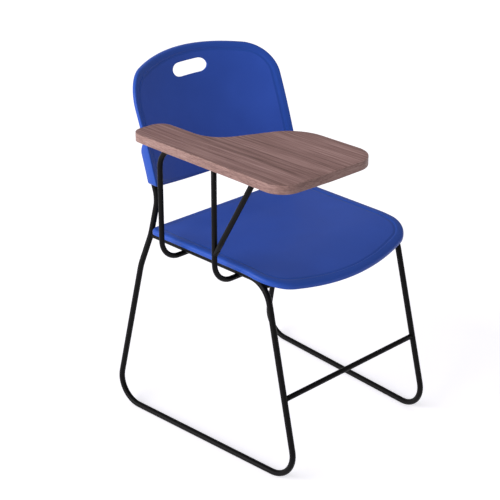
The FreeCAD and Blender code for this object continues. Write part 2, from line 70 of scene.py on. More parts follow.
class Slot(Enum):
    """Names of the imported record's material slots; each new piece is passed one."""

    FRAME = "frame_coating"
    MOULDING = "blue_moulding"
    LAMINATE = "tablet_laminate"
    EDGE = "tablet_edge"
    BACKER = "tablet_backer"


class Hand(Enum):
    """A side of the chair, as the sign of its X."""

    RIGHT = -1
    LEFT = 1


# Finishes


def linear(code: str) -> tuple[float, float, float, float]:
    """Turn an sRGB hex colour to the linear values that shaders take.

    Args:
        code: six hex digits after a hash.

    Returns:
        Red, green, blue and an alpha of one.
    """
    parts = [int(code[i : i + 2], 16) / 255 for i in (1, 3, 5)]
    values = [c / 12.92 if c <= 0.04045 else ((c + 0.055) / 1.055) ** 2.4 for c in parts]
    return (values[0], values[1], values[2], 1.0)


def per_metre(pattern_mm: float) -> float:
    """Texture scale that gives a pattern of this size in millimetres on Object coordinates."""
    return 1 / (pattern_mm * METRES_PER_MM)


def add_node(
    tree: NodeTree,
    kind: str,
    inputs: dict[str | int, object] | None = None,
    stops: list[tuple[float, str]] | None = None,
    **settings: object,
) -> Node:
    """Add one node, set its properties, and set or link its inputs.

    Args:
        tree: the tree that gets the node.
        kind: the node's type name.
        inputs: socket name or number to a value, or to another node's output to link.
        stops: place and hex colour of each stop, on a node that has a colour ramp.
        settings: properties of the node itself.

    Returns:
        The new node.
    """
    node = tree.nodes.new(kind)
    for name, value in settings.items():
        setattr(node, name, value)
    for key, value in (inputs or {}).items():
        if isinstance(value, NodeSocket):
            tree.links.new(value, node.inputs[key])
        else:
            node.inputs[key].default_value = value
    if stops:
        elements = node.color_ramp.elements
        while len(elements) < len(stops):
            elements.new(0.5)
        for element, (place, code) in zip(elements, stops):
            element.position = place
            element.color = linear(code)
    return node


def new_material(name: str) -> tuple[Material, NodeTree]:
    """An empty node material.

    Args:
        name: its name.

    Returns:
        The material and its tree.
    """
    material = bpy.data.materials.new(name)
    material.use_nodes = True
    material.node_tree.nodes.clear()
    return material, material.node_tree


@dataclass(frozen=True)
class Finish:
    """What the finishes share: a name, a shader, and for most of them a relief and a cloudy roughness.

    The roughness runs from the first to the second of its pair as a broad pattern does.
    """

    name: str
    roughness: tuple[float, float]
    relief: float = 0.3
    relief_mm: float = 0.1
    ior: float = 1.5
    specular: float = 0.5

    def surface(self, tree: NodeTree, place: NodeSocket) -> dict[str, object]:
        """The shader's inputs by name, after the finish's own patterns are added to the tree."""
        raise NotImplementedError

    def textured(
        self, tree: NodeTree, colour: NodeSocket, cloud: NodeSocket, height: NodeSocket
    ) -> dict[str, object]:
        """Add the relief and the roughness to a tree.

        Args:
            tree: the material's tree.
            colour: the finish's colour.
            cloud: the pattern that the roughness follows.
            height: the pattern of the relief.

        Returns:
            The shader's inputs, by name.
        """
        low, high = self.roughness
        dull = add_node(
            tree,
            "ShaderNodeMapRange",
            {"Value": cloud, "From Min": 0.3, "From Max": 0.7, "To Min": low, "To Max": high},
        )
        bump = add_node(
            tree,
            "ShaderNodeBump",
            {"Height": height, "Strength": self.relief, "Distance": self.relief_mm * METRES_PER_MM},
        )
        return {
            "Base Color": colour,
            "Roughness": dull.outputs["Result"],
            "Normal": bump.outputs["Normal"],
            "IOR": self.ior,
            "Specular IOR Level": self.specular,
        }

    def build(self) -> Material:
        """Make the material: the patterns, one shader and the output.

        Returns:
            The material.
        """
        material, tree = new_material(self.name)
        place = add_node(tree, "ShaderNodeTexCoord").outputs["Object"]
        shader = add_node(tree, "ShaderNodeBsdfPrincipled", self.surface(tree, place))
        add_node(tree, "ShaderNodeOutputMaterial", {"Surface": shader.outputs[0]})
        return material


@dataclass(frozen=True)
class Polypropylene(Finish):
    """Injection-moulded polypropylene: satin, with a soft wide highlight and a slightly waxy depth.

    The mould is spark-eroded, so the flat fields have a fine pebble that greys the colour a little,
    and the rims are smoother, so they keep a cleaner, stronger blue. The real pebble is about
    0.3 mm; it is drawn coarser, so that it shows.
    """

    name: str = "polypropylene_pebbled_blue"
    roughness: tuple[float, float] = (0.47, 0.54)
    relief: float = 0.35
    relief_mm: float = 0.06
    ior: float = 1.49
    specular: float = 0.25
    colour: str = "#3358bd"
    colour_low: str = "#2e52b4"
    cloud_mm: float = 130.0
    pebble_mm: float = 1.4

    def surface(self, tree: NodeTree, place: NodeSocket) -> dict[str, object]:
        """Add a broad drift of the colour, and a pebble of smooth cells with grit of half their size.

        Args:
            tree: the material's tree.
            place: the position on the object that the patterns read.

        Returns:
            The shader's inputs, by name.
        """
        broad = add_node(
            tree,
            "ShaderNodeTexNoise",
            {"Vector": place, "Scale": per_metre(self.cloud_mm), "Detail": 2.0, "Roughness": 0.5},
        )
        pebble = add_node(
            tree,
            "ShaderNodeTexVoronoi",
            {"Vector": place, "Scale": per_metre(self.pebble_mm), "Smoothness": 0.7, "Randomness": 1.0},
            feature="SMOOTH_F1",
        )
        grit = add_node(
            tree,
            "ShaderNodeTexNoise",
            {"Vector": place, "Scale": per_metre(self.pebble_mm / 2), "Detail": 2.0},
        )
        colour = add_node(
            tree,
            "ShaderNodeValToRGB",
            {"Fac": broad.outputs["Fac"]},
            stops=[(0.35, self.colour_low), (0.65, self.colour)],
        )
        height = add_node(
            tree,
            "ShaderNodeMath",
            {0: pebble.outputs["Distance"], 1: grit.outputs["Fac"]},
            operation="ADD",
        )
        return self.textured(tree, colour.outputs["Color"], broad.outputs["Fac"], height.outputs[0])


@dataclass(frozen=True)
class PowderCoat(Finish):
    """Powder-coated steel rod: near-black satin paint with a faint orange peel in its highlight."""

    name: str = "powder_coated_steel_black"
    roughness: tuple[float, float] = (0.37, 0.48)
    relief: float = 0.25
    relief_mm: float = 0.05
    specular: float = 0.1
    colour: str = "#070607"
    colour_light: str = "#0c0a0b"
    peel_mm: float = 1.6
    patch_mm: float = 35.0

    def surface(self, tree: NodeTree, place: NodeSocket) -> dict[str, object]:
        """Add the orange peel, and broad patches in which the coat is a shade lighter.

        Args:
            tree: the material's tree.
            place: the position on the object that the patterns read.

        Returns:
            The shader's inputs, by name.
        """
        peel = add_node(
            tree, "ShaderNodeTexNoise", {"Vector": place, "Scale": per_metre(self.peel_mm), "Detail": 1.5}
        )
        patches = add_node(
            tree,
            "ShaderNodeTexNoise",
            {"Vector": place, "Scale": per_metre(self.patch_mm), "Detail": 3.0, "Roughness": 0.6},
        )
        colour = add_node(
            tree,
            "ShaderNodeValToRGB",
            {"Fac": patches.outputs["Fac"]},
            stops=[(0.4, self.colour), (0.7, self.colour_light)],
        )
        return self.textured(tree, colour.outputs["Color"], patches.outputs["Fac"], peel.outputs["Fac"])


class GrainAxis(Enum):
    """How a wood pattern is squeezed along X, Y and Z: the smaller, the longer it runs that way."""

    ALONG_TABLET = (1.0, 0.016, 1.0)
    ROUND_EDGE = (0.16, 0.16, 1.6)


@dataclass(frozen=True)
class WoodgrainLaminate(Finish):
    """Printed walnut melamine: a matt sheet with long streaks and short dark pores along the grain."""

    name: str = "melamine_walnut_grain"
    roughness: tuple[float, float] = (0.58, 0.46)
    relief_mm: float = 0.06
    specular: float = 0.3
    dark: str = "#70524c"
    middle: str = "#906d69"
    light: str = "#af8b87"
    pore: str = "#b8a8a4"
    clear: str = "#ffffff"
    grain: GrainAxis = GrainAxis.ALONG_TABLET
    zone_mm: float = 48.0
    streak_mm: float = 5.5
    fine_mm: float = 2.2
    pore_mm: float = 1.5
    wander_mm: float = 160.0
    wander_reach_mm: float = 4.0

    def surface(self, tree: NodeTree, place: NodeSocket) -> dict[str, object]:
        """Add the wood: zones, streaks and fine lines mixed to one tone, with pores over them.

        All of it is stretched along the grain, and a slow wander bends it sideways.

        Args:
            tree: the material's tree.
            place: the position on the object that the patterns read.

        Returns:
            The shader's inputs, by name.
        """
        wander = add_node(
            tree,
            "ShaderNodeTexNoise",
            {"Vector": place, "Scale": per_metre(self.wander_mm), "Detail": 2.0},
        )
        bent = add_node(
            tree,
            "ShaderNodeVectorMath",
            {0: wander.outputs["Color"], 1: (self.wander_reach_mm * METRES_PER_MM, 0.0, 0.0)},
            operation="MULTIPLY",
        )
        shifted = add_node(
            tree, "ShaderNodeVectorMath", {0: place, 1: bent.outputs["Vector"]}, operation="ADD"
        )
        stretched = add_node(
            tree,
            "ShaderNodeVectorMath",
            {0: shifted.outputs["Vector"], 1: self.grain.value},
            operation="MULTIPLY",
        )
        patterns = (
            (self.zone_mm, 2.0, 0.5),
            (self.streak_mm, 3.0, 0.55),
            (self.fine_mm, 4.0, 0.7),
            (self.pore_mm, 1.0, 0.5),
        )
        zones, streaks, fine, pores = [
            add_node(
                tree,
                "ShaderNodeTexNoise",
                {
                    "Vector": stretched.outputs["Vector"],
                    "Scale": per_metre(size_mm),
                    "Detail": detail,
                    "Roughness": harshness,
                },
            ).outputs["Fac"]
            for size_mm, detail, harshness in patterns
        ]
        lines = add_node(
            tree, "ShaderNodeMix", {"Factor": 0.5, "A": streaks, "B": fine}, data_type="FLOAT"
        )
        mixed = add_node(
            tree,
            "ShaderNodeMix",
            {"Factor": 0.3, "A": lines.outputs["Result"], "B": zones},
            data_type="FLOAT",
        )
        wood = add_node(
            tree,
            "ShaderNodeValToRGB",
            {"Fac": mixed.outputs["Result"]},
            stops=[(0.4, self.dark), (0.5, self.middle), (0.6, self.light)],
        )
        pits = add_node(
            tree, "ShaderNodeValToRGB", {"Fac": pores}, stops=[(0.28, self.pore), (0.42, self.clear)]
        )
        colour = add_node(
            tree,
            "ShaderNodeMix",
            {"Factor": 0.85, "A": wood.outputs["Color"], "B": pits.outputs["Color"]},
            data_type="RGBA",
            blend_type="MULTIPLY",
        )
        return self.textured(tree, colour.outputs["Result"], fine, fine)


@dataclass(frozen=True)
class PressedBoard(Finish):
    """Raw particle board or a plain backing sheet: dull, with flecks of chip or fibre."""

    name: str = "particle_board_raw"
    roughness: tuple[float, float] = (0.8, 0.8)
    colour: str = "#b08a62"
    fleck: str = "#8a6848"
    fleck_mm: float = 2.5

    def surface(self, tree: NodeTree, place: NodeSocket) -> dict[str, object]:
        """Add the flecks.

        Args:
            tree: the material's tree.
            place: the position on the object that the pattern reads.

        Returns:
            The shader's inputs, by name.
        """
        flecks = add_node(
            tree,
            "ShaderNodeTexNoise",
            {"Vector": place, "Scale": per_metre(self.fleck_mm), "Detail": 4.0, "Roughness": 0.65},
        ).outputs["Fac"]
        colour = add_node(
            tree,
            "ShaderNodeValToRGB",
            {"Fac": flecks},
            stops=[(0.38, self.fleck), (0.6, self.colour)],
        )
        return self.textured(tree, colour.outputs["Color"], flecks, flecks)


@dataclass(frozen=True)
class ZincPlate(Finish):
    """Zinc-plated steel: a cool grey metal with a cloudy, half-bright polish."""

    name: str = "zinc_plated_steel"
    roughness: tuple[float, float] = (0.23, 0.48)
    colour: str = "#b9bcc0"
    cloud_mm: float = 3.0

    def surface(self, tree: NodeTree, place: NodeSocket) -> dict[str, object]:
        """Add the clouds in the polish.

        Args:
            tree: the material's tree.
            place: the position on the object that the pattern reads.

        Returns:
            The shader's inputs, by name.
        """
        cloud = add_node(
            tree, "ShaderNodeTexNoise", {"Vector": place, "Scale": per_metre(self.cloud_mm), "Detail": 3.0}
        )
        low, high = self.roughness
        dull = add_node(
            tree, "ShaderNodeMapRange", {"Value": cloud.outputs["Fac"], "To Min": low, "To Max": high}
        )
        return {"Base Color": linear(self.colour), "Metallic": 1.0, "Roughness": dull.outputs["Result"]}


class Finishes:
    """Every material of the chair, made once."""

    def __init__(self) -> None:
        """Build the materials."""
        self.field = Polypropylene().build()
        self.rim = Polypropylene(
            name="polypropylene_smooth_blue",
            colour="#2b51b1",
            colour_low="#284fab",
            pebble_mm=1.6,
            relief_mm=0.02,
            roughness=(0.33, 0.4),
            specular=0.2,
        ).build()
        self.coat = PowderCoat().build()
        self.laminate = WoodgrainLaminate().build()
        self.edge = WoodgrainLaminate(
            name="melamine_walnut_edge_band",
            dark="#7b5e59",
            middle="#94746e",
            light="#a68780",
            grain=GrainAxis.ROUND_EDGE,
            streak_mm=4.0,
            pore_mm=1.2,
        ).build()
        self.board = PressedBoard().build()
        self.backer = PressedBoard(
            name="phenolic_backer_brown",
            colour="#4a3a34",
            fleck="#3d302b",
            fleck_mm=1.5,
            roughness=(0.6, 0.6),
        ).build()
        self.zinc = ZincPlate().build()


# Mesh making


def unit(vectors: np.ndarray) -> np.ndarray:
    """The same directions, with a length of one."""
    return vectors / np.linalg.norm(vectors, axis=-1, keepdims=True)


def unit_circle(count: int) -> np.ndarray:
    """Evenly spaced points on a circle of radius one, as cosine and sine: count by 2."""
    angles = np.arange(count) * 2 * math.pi / count
    return np.stack([np.cos(angles), np.sin(angles)], axis=-1)


def quarter_round(radius: float, count: int) -> list[tuple[float, float]]:
    """A quarter circle, as its radius times one less the sine, and times one less the cosine."""
    turn = np.linspace(0, math.pi / 2, count)
    return [(radius * (1 - math.sin(angle)), radius * (1 - math.cos(angle))) for angle in turn]


def soft_rise(share: np.ndarray) -> np.ndarray:
    """A quarter sine wave's square: level at nought and at one, and held beyond them."""
    return np.sin(math.pi / 2 * np.clip(share, 0, 1)) ** 2


def signed_volume(points: np.ndarray, faces: list[list[int]]) -> float:
    """Volume inside the faces, as the sum of tetrahedra to the origin.

    Args:
        points: N by 3.
        faces: point numbers of each face.

    Returns:
        The volume; negative when the faces point inwards.
    """
    total = 0.0
    for size in {len(face) for face in faces}:
        block = points[np.array([face for face in faces if len(face) == size])]
        for corner in range(1, size - 1):
            cross = np.cross(block[:, corner], block[:, corner + 1])
            total += float(np.einsum("ij,ij->", block[:, 0], cross)) / 6
    return total


def put_piece(
    name: str,
    skin: Skin,
    materials: list[Material],
    slot: Slot,
    *nodes: str,
    face_materials: list[int] | None = None,
) -> None:
    """Make a smooth-shaded piece whose closed mesh faces outwards, and settle it on the chair.

    Args:
        name: the piece's name.
        skin: its points and faces.
        materials: its materials.
        slot: the record's material slot; not used.
        nodes: the CAD nodes that it replaces.
        face_materials: which material each face takes; the first where it is left out.
    """
    points, faces = skin
    if signed_volume(points, faces) < 0:
        faces = [face[::-1] for face in faces]
    mesh = bpy.data.meshes.new(name)
    mesh.from_pydata((points * METRES_PER_MM).tolist(), [], faces)
    mesh.polygons.foreach_set("use_smooth", np.ones(len(faces), bool))
    for material in materials:
        mesh.materials.append(material)
    if face_materials is not None:
        mesh.polygons.foreach_set("material_index", np.array(face_materials, np.int32))
    mesh.update()
    piece = bpy.data.objects.new(name, mesh)
    bpy.context.scene.collection.objects.link(piece)
    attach(piece, BODY)
    if nodes:
        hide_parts(*nodes)
    LOG.info("piece %s: %d faces", name, len(faces))


def dress_node(node: str, material: Material) -> None:
    """Give a CAD node that keeps its shape one material all over."""
    for slot in FRAME["nodes"][node].material_slots:
        slot.material = material


def ring_faces(rows: int, columns: int, closed: bool = False) -> list[list[int]]:
    """Quads between neighbouring closed rings.

    Args:
        rows: how many rings.
        columns: points in each ring.
        closed: whether the last ring joins the first.

    Returns:
        The faces, ring by ring.
    """
    row = np.arange(rows if closed else rows - 1)[:, None] * columns
    above = (row + columns) % (rows * columns)
    column = np.arange(columns)[None, :]
    onward = (column + 1) % columns
    quads = np.stack([row + column, row + onward, above + onward, above + column], axis=-1)
    return quads.reshape(-1, 4).tolist()


def capped_rings(rings: np.ndarray) -> Skin:
    """Close a stack of rings with a point in the middle of its first and its last ring.

    Args:
        rings: rows by columns by 3.

    Returns:
        Points and faces of the closed skin.
    """
    rows, columns = rings.shape[:2]
    poles = np.array([rings[0].mean(0), rings[-1].mean(0)])
    points = np.concatenate([rings.reshape(-1, 3), poles])
    faces = ring_faces(rows, columns)
    here = np.arange(columns)
    onward = (here + 1) % columns
    last = (rows - 1) * columns
    start = np.full(columns, rows * columns)
    faces += np.stack([start, onward, here], axis=-1).tolist()
    faces += np.stack([start + 1, last + here, last + onward], axis=-1).tolist()
    return points, faces


def arc_points(centre: np.ndarray, start: np.ndarray, end: np.ndarray, count: int) -> np.ndarray:
    """Points on the shorter arc about a centre from one point to another, its last point left out.

    Args:
        centre: the arc's centre, in the plane.
        start: where it starts.
        end: where it ends.
        count: how many points.

    Returns:
        count by 2.
    """
    first = math.atan2(*(start - centre)[::-1])
    turn = math.atan2(*(end - centre)[::-1]) - first
    turn = (turn + math.pi) % (2 * math.pi) - math.pi
    angles = first + turn * np.arange(count) / count
    radius = float(np.linalg.norm(start - centre))
    return centre + radius * np.stack([np.cos(angles), np.sin(angles)], axis=-1)


def line_points(start: np.ndarray, end: np.ndarray, count: int) -> np.ndarray:
    """Evenly spaced points on a line, its last point left out."""
    return start + (end - start) * (np.arange(count) / count)[:, None]


@dataclass(frozen=True)
class BeadedBorder:
    """The relief between a moulding's rounded edge and its field: a low bead, a groove and a soft step.

    Everything is drawn below the bead's crest, which is level with the plain surface.
    """

    inset: float
    edge_round: float
    field_drop: float = 0.8
    groove: float = 1.5
    crest: float = 4.0
    shoulder: float = 0.6
    step_half: float = 1.8
    step_steep: float = 1.0

    def steps(self) -> list[tuple[float, float, float]]:
        """The section from the field's edge out to where the edge's rounding starts.

        A soft step leads down from the field to the groove, and is four fifths down a little past
        its middle. Half a cosine wave rises from there to the bead's crest, and a parabola falls to
        the edge's shoulder.

        Returns:
            Inset, share of the border's extra width, and drop, ring by ring.
        """
        start, width = self.edge_round, self.inset - self.edge_round
        top = start + min(self.crest, width / 2)
        low = self.inset - self.step_half
        fall = self.groove - self.field_drop
        section = [
            (self.inset + self.step_half, self.field_drop),
            (self.inset + self.step_half / 2, self.field_drop * 1.03),
            (self.inset, self.field_drop + fall * 0.22),
            (self.inset - self.step_steep, self.field_drop + fall * 0.8),
            (low, self.groove),
        ]
        for share in (0.2, 0.4, 0.6, 0.8, 1.0):
            rise = (1 + math.cos(math.pi * share)) / 2
            section.append((low + (top - low) * share, self.groove * rise))
        for share in (0.35, 0.7, 1.0):
            section.append((top + (start - top) * share, self.shoulder * share**2))
        return [(inset, min(max((inset - start) / width, 0.0), 1.0), drop) for inset, drop in section]


@dataclass(frozen=True)
class BowedOutline:
    """A symmetric outline: two straight sides, two bowed ends and four rounded corners.

    Across is the first coordinate, along is the second. Low and high are its two ends.
    """

    low_half: float
    high_half: float
    low_side: float
    high_side: float
    low_bow: float
    high_bow: float
    low_round: float
    high_round: float
    least_round: float = 4.0

    def inset(self, depth: float, sides: float = 0.0, low: float = 0.0) -> BowedOutline:
        """The same outline drawn in.

        Args:
            depth: how far all round.
            sides: how much further the two sides are drawn in.
            low: how much further the low end is drawn in.

        Returns:
            The new outline.
        """
        return replace(
            self,
            low_half=self.low_half - depth - sides,
            high_half=self.high_half - depth - sides,
            low_side=self.low_side + depth + low,
            high_side=self.high_side - depth,
            low_round=max(self.low_round - depth - (sides + low) / 2, self.least_round),
            high_round=max(self.high_round - depth - sides / 2, self.least_round),
        )

    def corner(self, end: int) -> tuple[np.ndarray, np.ndarray, np.ndarray, np.ndarray]:
        """Where a corner's arc lies on the right side.

        The arc's centre is its radius inside the side line, and the bow's radius less its own from
        the bow's centre.

        Args:
            end: -1 for the low end, 1 for the high end.

        Returns:
            The bow's centre, the corner's centre, its point on the bow and its point on the side.
        """
        low = np.array([self.low_half, self.low_side])
        high = np.array([self.high_half, self.high_side])
        half, side, bow, radius = (
            (self.low_half, self.low_side, self.low_bow, self.low_round)
            if end < 0
            else (self.high_half, self.high_side, self.high_bow, self.high_round)
        )
        bow_radius = (half**2 + bow**2) / (2 * bow)
        bow_centre = np.array([0.0, side + end * (bow - bow_radius)])
        run = unit(high - low)
        inward = np.array([-run[1], run[0]])
        from_centre = low + inward * radius - bow_centre
        along = from_centre @ run
        root = math.sqrt(along**2 - from_centre @ from_centre + (bow_radius - radius) ** 2)
        centre = low + inward * radius + run * (end * root - along)
        on_bow = bow_centre + (centre - bow_centre) * bow_radius / (bow_radius - radius)
        return bow_centre, centre, on_bow, centre - inward * radius

    def points(self, count: int) -> np.ndarray:
        """Points all round, from the low end's middle up the right side and down the left.

        Args:
            count: points on each stretch, of which each half has five.

        Returns:
            Ten times count by 2.
        """
        low_bow_centre, low_centre, low_on_bow, low_on_side = self.corner(-1)
        high_bow_centre, high_centre, high_on_bow, high_on_side = self.corner(1)
        low_middle = np.array([0.0, self.low_side - self.low_bow])
        high_middle = np.array([0.0, self.high_side + self.high_bow])
        right = np.concatenate(
            [
                arc_points(low_bow_centre, low_middle, low_on_bow, count),
                arc_points(low_centre, low_on_bow, low_on_side, count),
                line_points(low_on_side, high_on_side, count),
                arc_points(high_centre, high_on_side, high_on_bow, count),
                arc_points(high_bow_centre, high_on_bow, high_middle, count),
                high_middle[None],
            ]
        )
        left = right[1:-1][::-1] * np.array([-1.0, 1.0])
        return np.concatenate([right, left])


def bent_line(corners: np.ndarray, radii: list[float], step_deg: float = 6.0) -> np.ndarray:
    """Points along straight runs joined by tangent arcs, close together on the arcs.

    Args:
        corners: where the runs would meet, first and last included.
        radii: bend radius at each inner corner.
        step_deg: turn between neighbouring points of an arc.

    Returns:
        M by 3.
    """
    stretches = [corners[:1]]
    for index, radius in enumerate(radii):
        before, corner, after = corners[index : index + 3]
        back, ahead = unit(before - corner), unit(after - corner)
        half = math.acos(float(np.clip(back @ ahead, -1, 1))) / 2
        middle, sideways = unit(back + ahead), unit(ahead - back)
        centre = corner + middle * radius / math.sin(half)
        turn = math.pi - 2 * half
        count = max(int(math.degrees(turn) / step_deg), 2) + 1
        angles = np.linspace(-turn / 2, turn / 2, count)[:, None]
        stretches.append(centre + radius * (np.sin(angles) * sideways - np.cos(angles) * middle))
    stretches.append(corners[-1:])
    return np.concatenate(stretches)


def refine_line(line: np.ndarray, longest: float = 40.0) -> np.ndarray:
    """Add evenly spaced points to the long stretches of a line.

    Args:
        line: M by 3.
        longest: the longest stretch that is left, in millimetres.

    Returns:
        N by 3, with the first line's points among them.
    """
    steps = np.diff(line, axis=0)
    counts = np.maximum(np.ceil(np.linalg.norm(steps, axis=1) / longest).astype(int), 1)
    starts = np.repeat(line[:-1], counts, axis=0)
    within = np.arange(counts.sum()) - np.repeat(np.cumsum(counts) - counts, counts)
    parts = np.repeat(steps / counts[:, None], counts, axis=0)
    return np.concatenate([starts + parts * within[:, None], line[-1:]])


def line_frames(
    line: np.ndarray, across: np.ndarray, closed: bool = False
) -> tuple[np.ndarray, np.ndarray]:
    """Two directions square to a line at each of its points.

    Args:
        line: M by 3.
        across: a direction that the line never runs along.
        closed: whether the last point joins the first.

    Returns:
        The part of across that is square to the line, and the direction square to both.
    """
    if closed:
        tangent = np.roll(line, -1, axis=0) - np.roll(line, 1, axis=0)
    else:
        tangent = np.gradient(line, axis=0)
        steps = unit(np.diff(line, axis=0))
        tangent[1:-1] = steps[1:] + steps[:-1]
    tangent = unit(tangent)
    normal = unit(across - (tangent @ across)[:, None] * tangent)
    return normal, np.cross(tangent, normal)


def circles_round(
    line: np.ndarray, directions: tuple[np.ndarray, np.ndarray], reach: np.ndarray, sides: int
) -> np.ndarray:
    """A circle round each point: its radius times the cosine and the sine along two directions.

    Args:
        line: the circles' centres, M by 3.
        directions: two directions square to the line at each point, each M by 3.
        reach: the circles' radii.
        sides: points on each circle.

    Returns:
        M by sides by 3.
    """
    normal, other = directions
    turn = unit_circle(sides)[None]
    circle = turn[..., :1] * normal[:, None] + turn[..., 1:] * other[:, None]
    return line[:, None] + circle * reach[:, None, None]


def rod_skin(
    line: np.ndarray, radius: float, across: np.ndarray, sides: int = 28, ease: float = 0.5
) -> Skin:
    """Skin of a round rod with slightly eased ends.

    A circle of the rod's radius is carried along the line; at each end the last rings draw in over
    the easing, and a middle point closes it. The end rings share a place, so their directions are
    worked out on a line that spreads them.

    Args:
        line: the centre line, whose long stretches get more points.
        radius: the rod's radius.
        across: a direction that the line never runs along.
        sides: points round the rod.
        ease: size of the easing.

    Returns:
        Points and faces.
    """
    line = refine_line(line)
    first, last = unit(line[1] - line[0]), unit(line[-1] - line[-2])
    start = [line[:1], line[:1], line[:1] + first * ease]
    end = [line[-1:] - last * ease, line[-1:], line[-1:]]
    line = np.concatenate([*start, line[1:-1], *end])
    reach = np.full(len(line), radius)
    reach[[0, -1]] = radius / 2
    reach[[1, -2]] = radius - ease
    spread = line.copy()
    spread[0] -= first
    spread[1] -= first * ease
    spread[-1] += last
    spread[-2] += last * ease
    return capped_rings(circles_round(line, line_frames(spread, across), reach, sides))


def joined(parts: list[Skin]) -> Skin:
    """Several closed skins as one, each turned to face outwards.

    Args:
        parts: points and faces of each.

    Returns:
        Points and faces of all.
    """
    points: list[np.ndarray] = []
    faces: list[list[int]] = []
    first = 0
    for skin, skin_faces in parts:
        if signed_volume(skin - skin.mean(0), skin_faces) < 0:
            skin_faces = [face[::-1] for face in skin_faces]
        faces += [[number + first for number in face] for face in skin_faces]
        points.append(skin)
        first += len(skin)
    return np.concatenate(points), faces


def saddle_line(
    tip: np.ndarray,
    branch: np.ndarray,
    main: np.ndarray,
    branch_r: float,
    main_r: float,
    count: int = 36,
) -> np.ndarray:
    """Where a round rod's end meets the side of another round rod.

    Round the branch by an angle, the offset across both rods is the branch's radius times the
    cosine, and the meeting point lies back along the branch by the root of the main radius squared
    less that offset squared. Where the rods are not square, a share of the offset along the main
    rod is added back.

    Args:
        tip: the point where the two centre lines meet.
        branch: direction from the tip back along the branch, of length one.
        main: direction of the rod it meets.
        branch_r: the branch's radius.
        main_r: the other rod's radius.
        count: how many points.

    Returns:
        A closed line of points.
    """
    main = unit(main)
    across = unit(np.cross(branch, main))
    upright = np.cross(across, branch)
    slant = float(branch @ main)
    sideways, along = branch_r * unit_circle(count).T
    back = np.sqrt(np.maximum(main_r**2 - sideways**2, 0.0)) - along * slant
    depth = back / math.sqrt(1 - slant**2)
    return tip + sideways[:, None] * across + along[:, None] * upright + depth[:, None] * branch


def weld_bead(
    tip: np.ndarray,
    branch: np.ndarray,
    main: np.ndarray,
    branch_r: float,
    main_r: float,
    bead: float,
    bite: float = 0.97,
    puddles: int = 9,
    swell: float = 0.1,
    sides: int = 10,
) -> Skin:
    """Skin of a weld bead round the end of a rod that meets the side of another.

    A circle is carried round the line where the rods meet, drawn in so that it bites. Its radius
    is the bead's times one plus the swell times the cosine of the puddle's phase.

    Args:
        tip: the point where the two centre lines meet.
        branch: direction from the tip back along the branch.
        main: direction of the rod it meets.
        branch_r: the branch's radius.
        main_r: the other rod's radius.
        bead: the bead's radius.
        bite: the share of the branch's radius at which the bead lies.
        puddles: how many puddles there are round the rod.
        swell: how far a puddle swells, as a share of the bead's radius.
        sides: points round the bead.

    Returns:
        Points and faces.
    """
    branch = unit(branch)
    line = saddle_line(tip, branch, main, branch_r * bite, main_r)
    phase = np.arange(len(line)) * 2 * math.pi * puddles / len(line)
    reach = bead * (1 + swell * np.cos(phase))
    rings = circles_round(line, line_frames(line, branch, closed=True), reach, sides)
    return rings.reshape(-1, 3), ring_faces(len(line), sides, closed=True)


# Sizes that several assemblies share


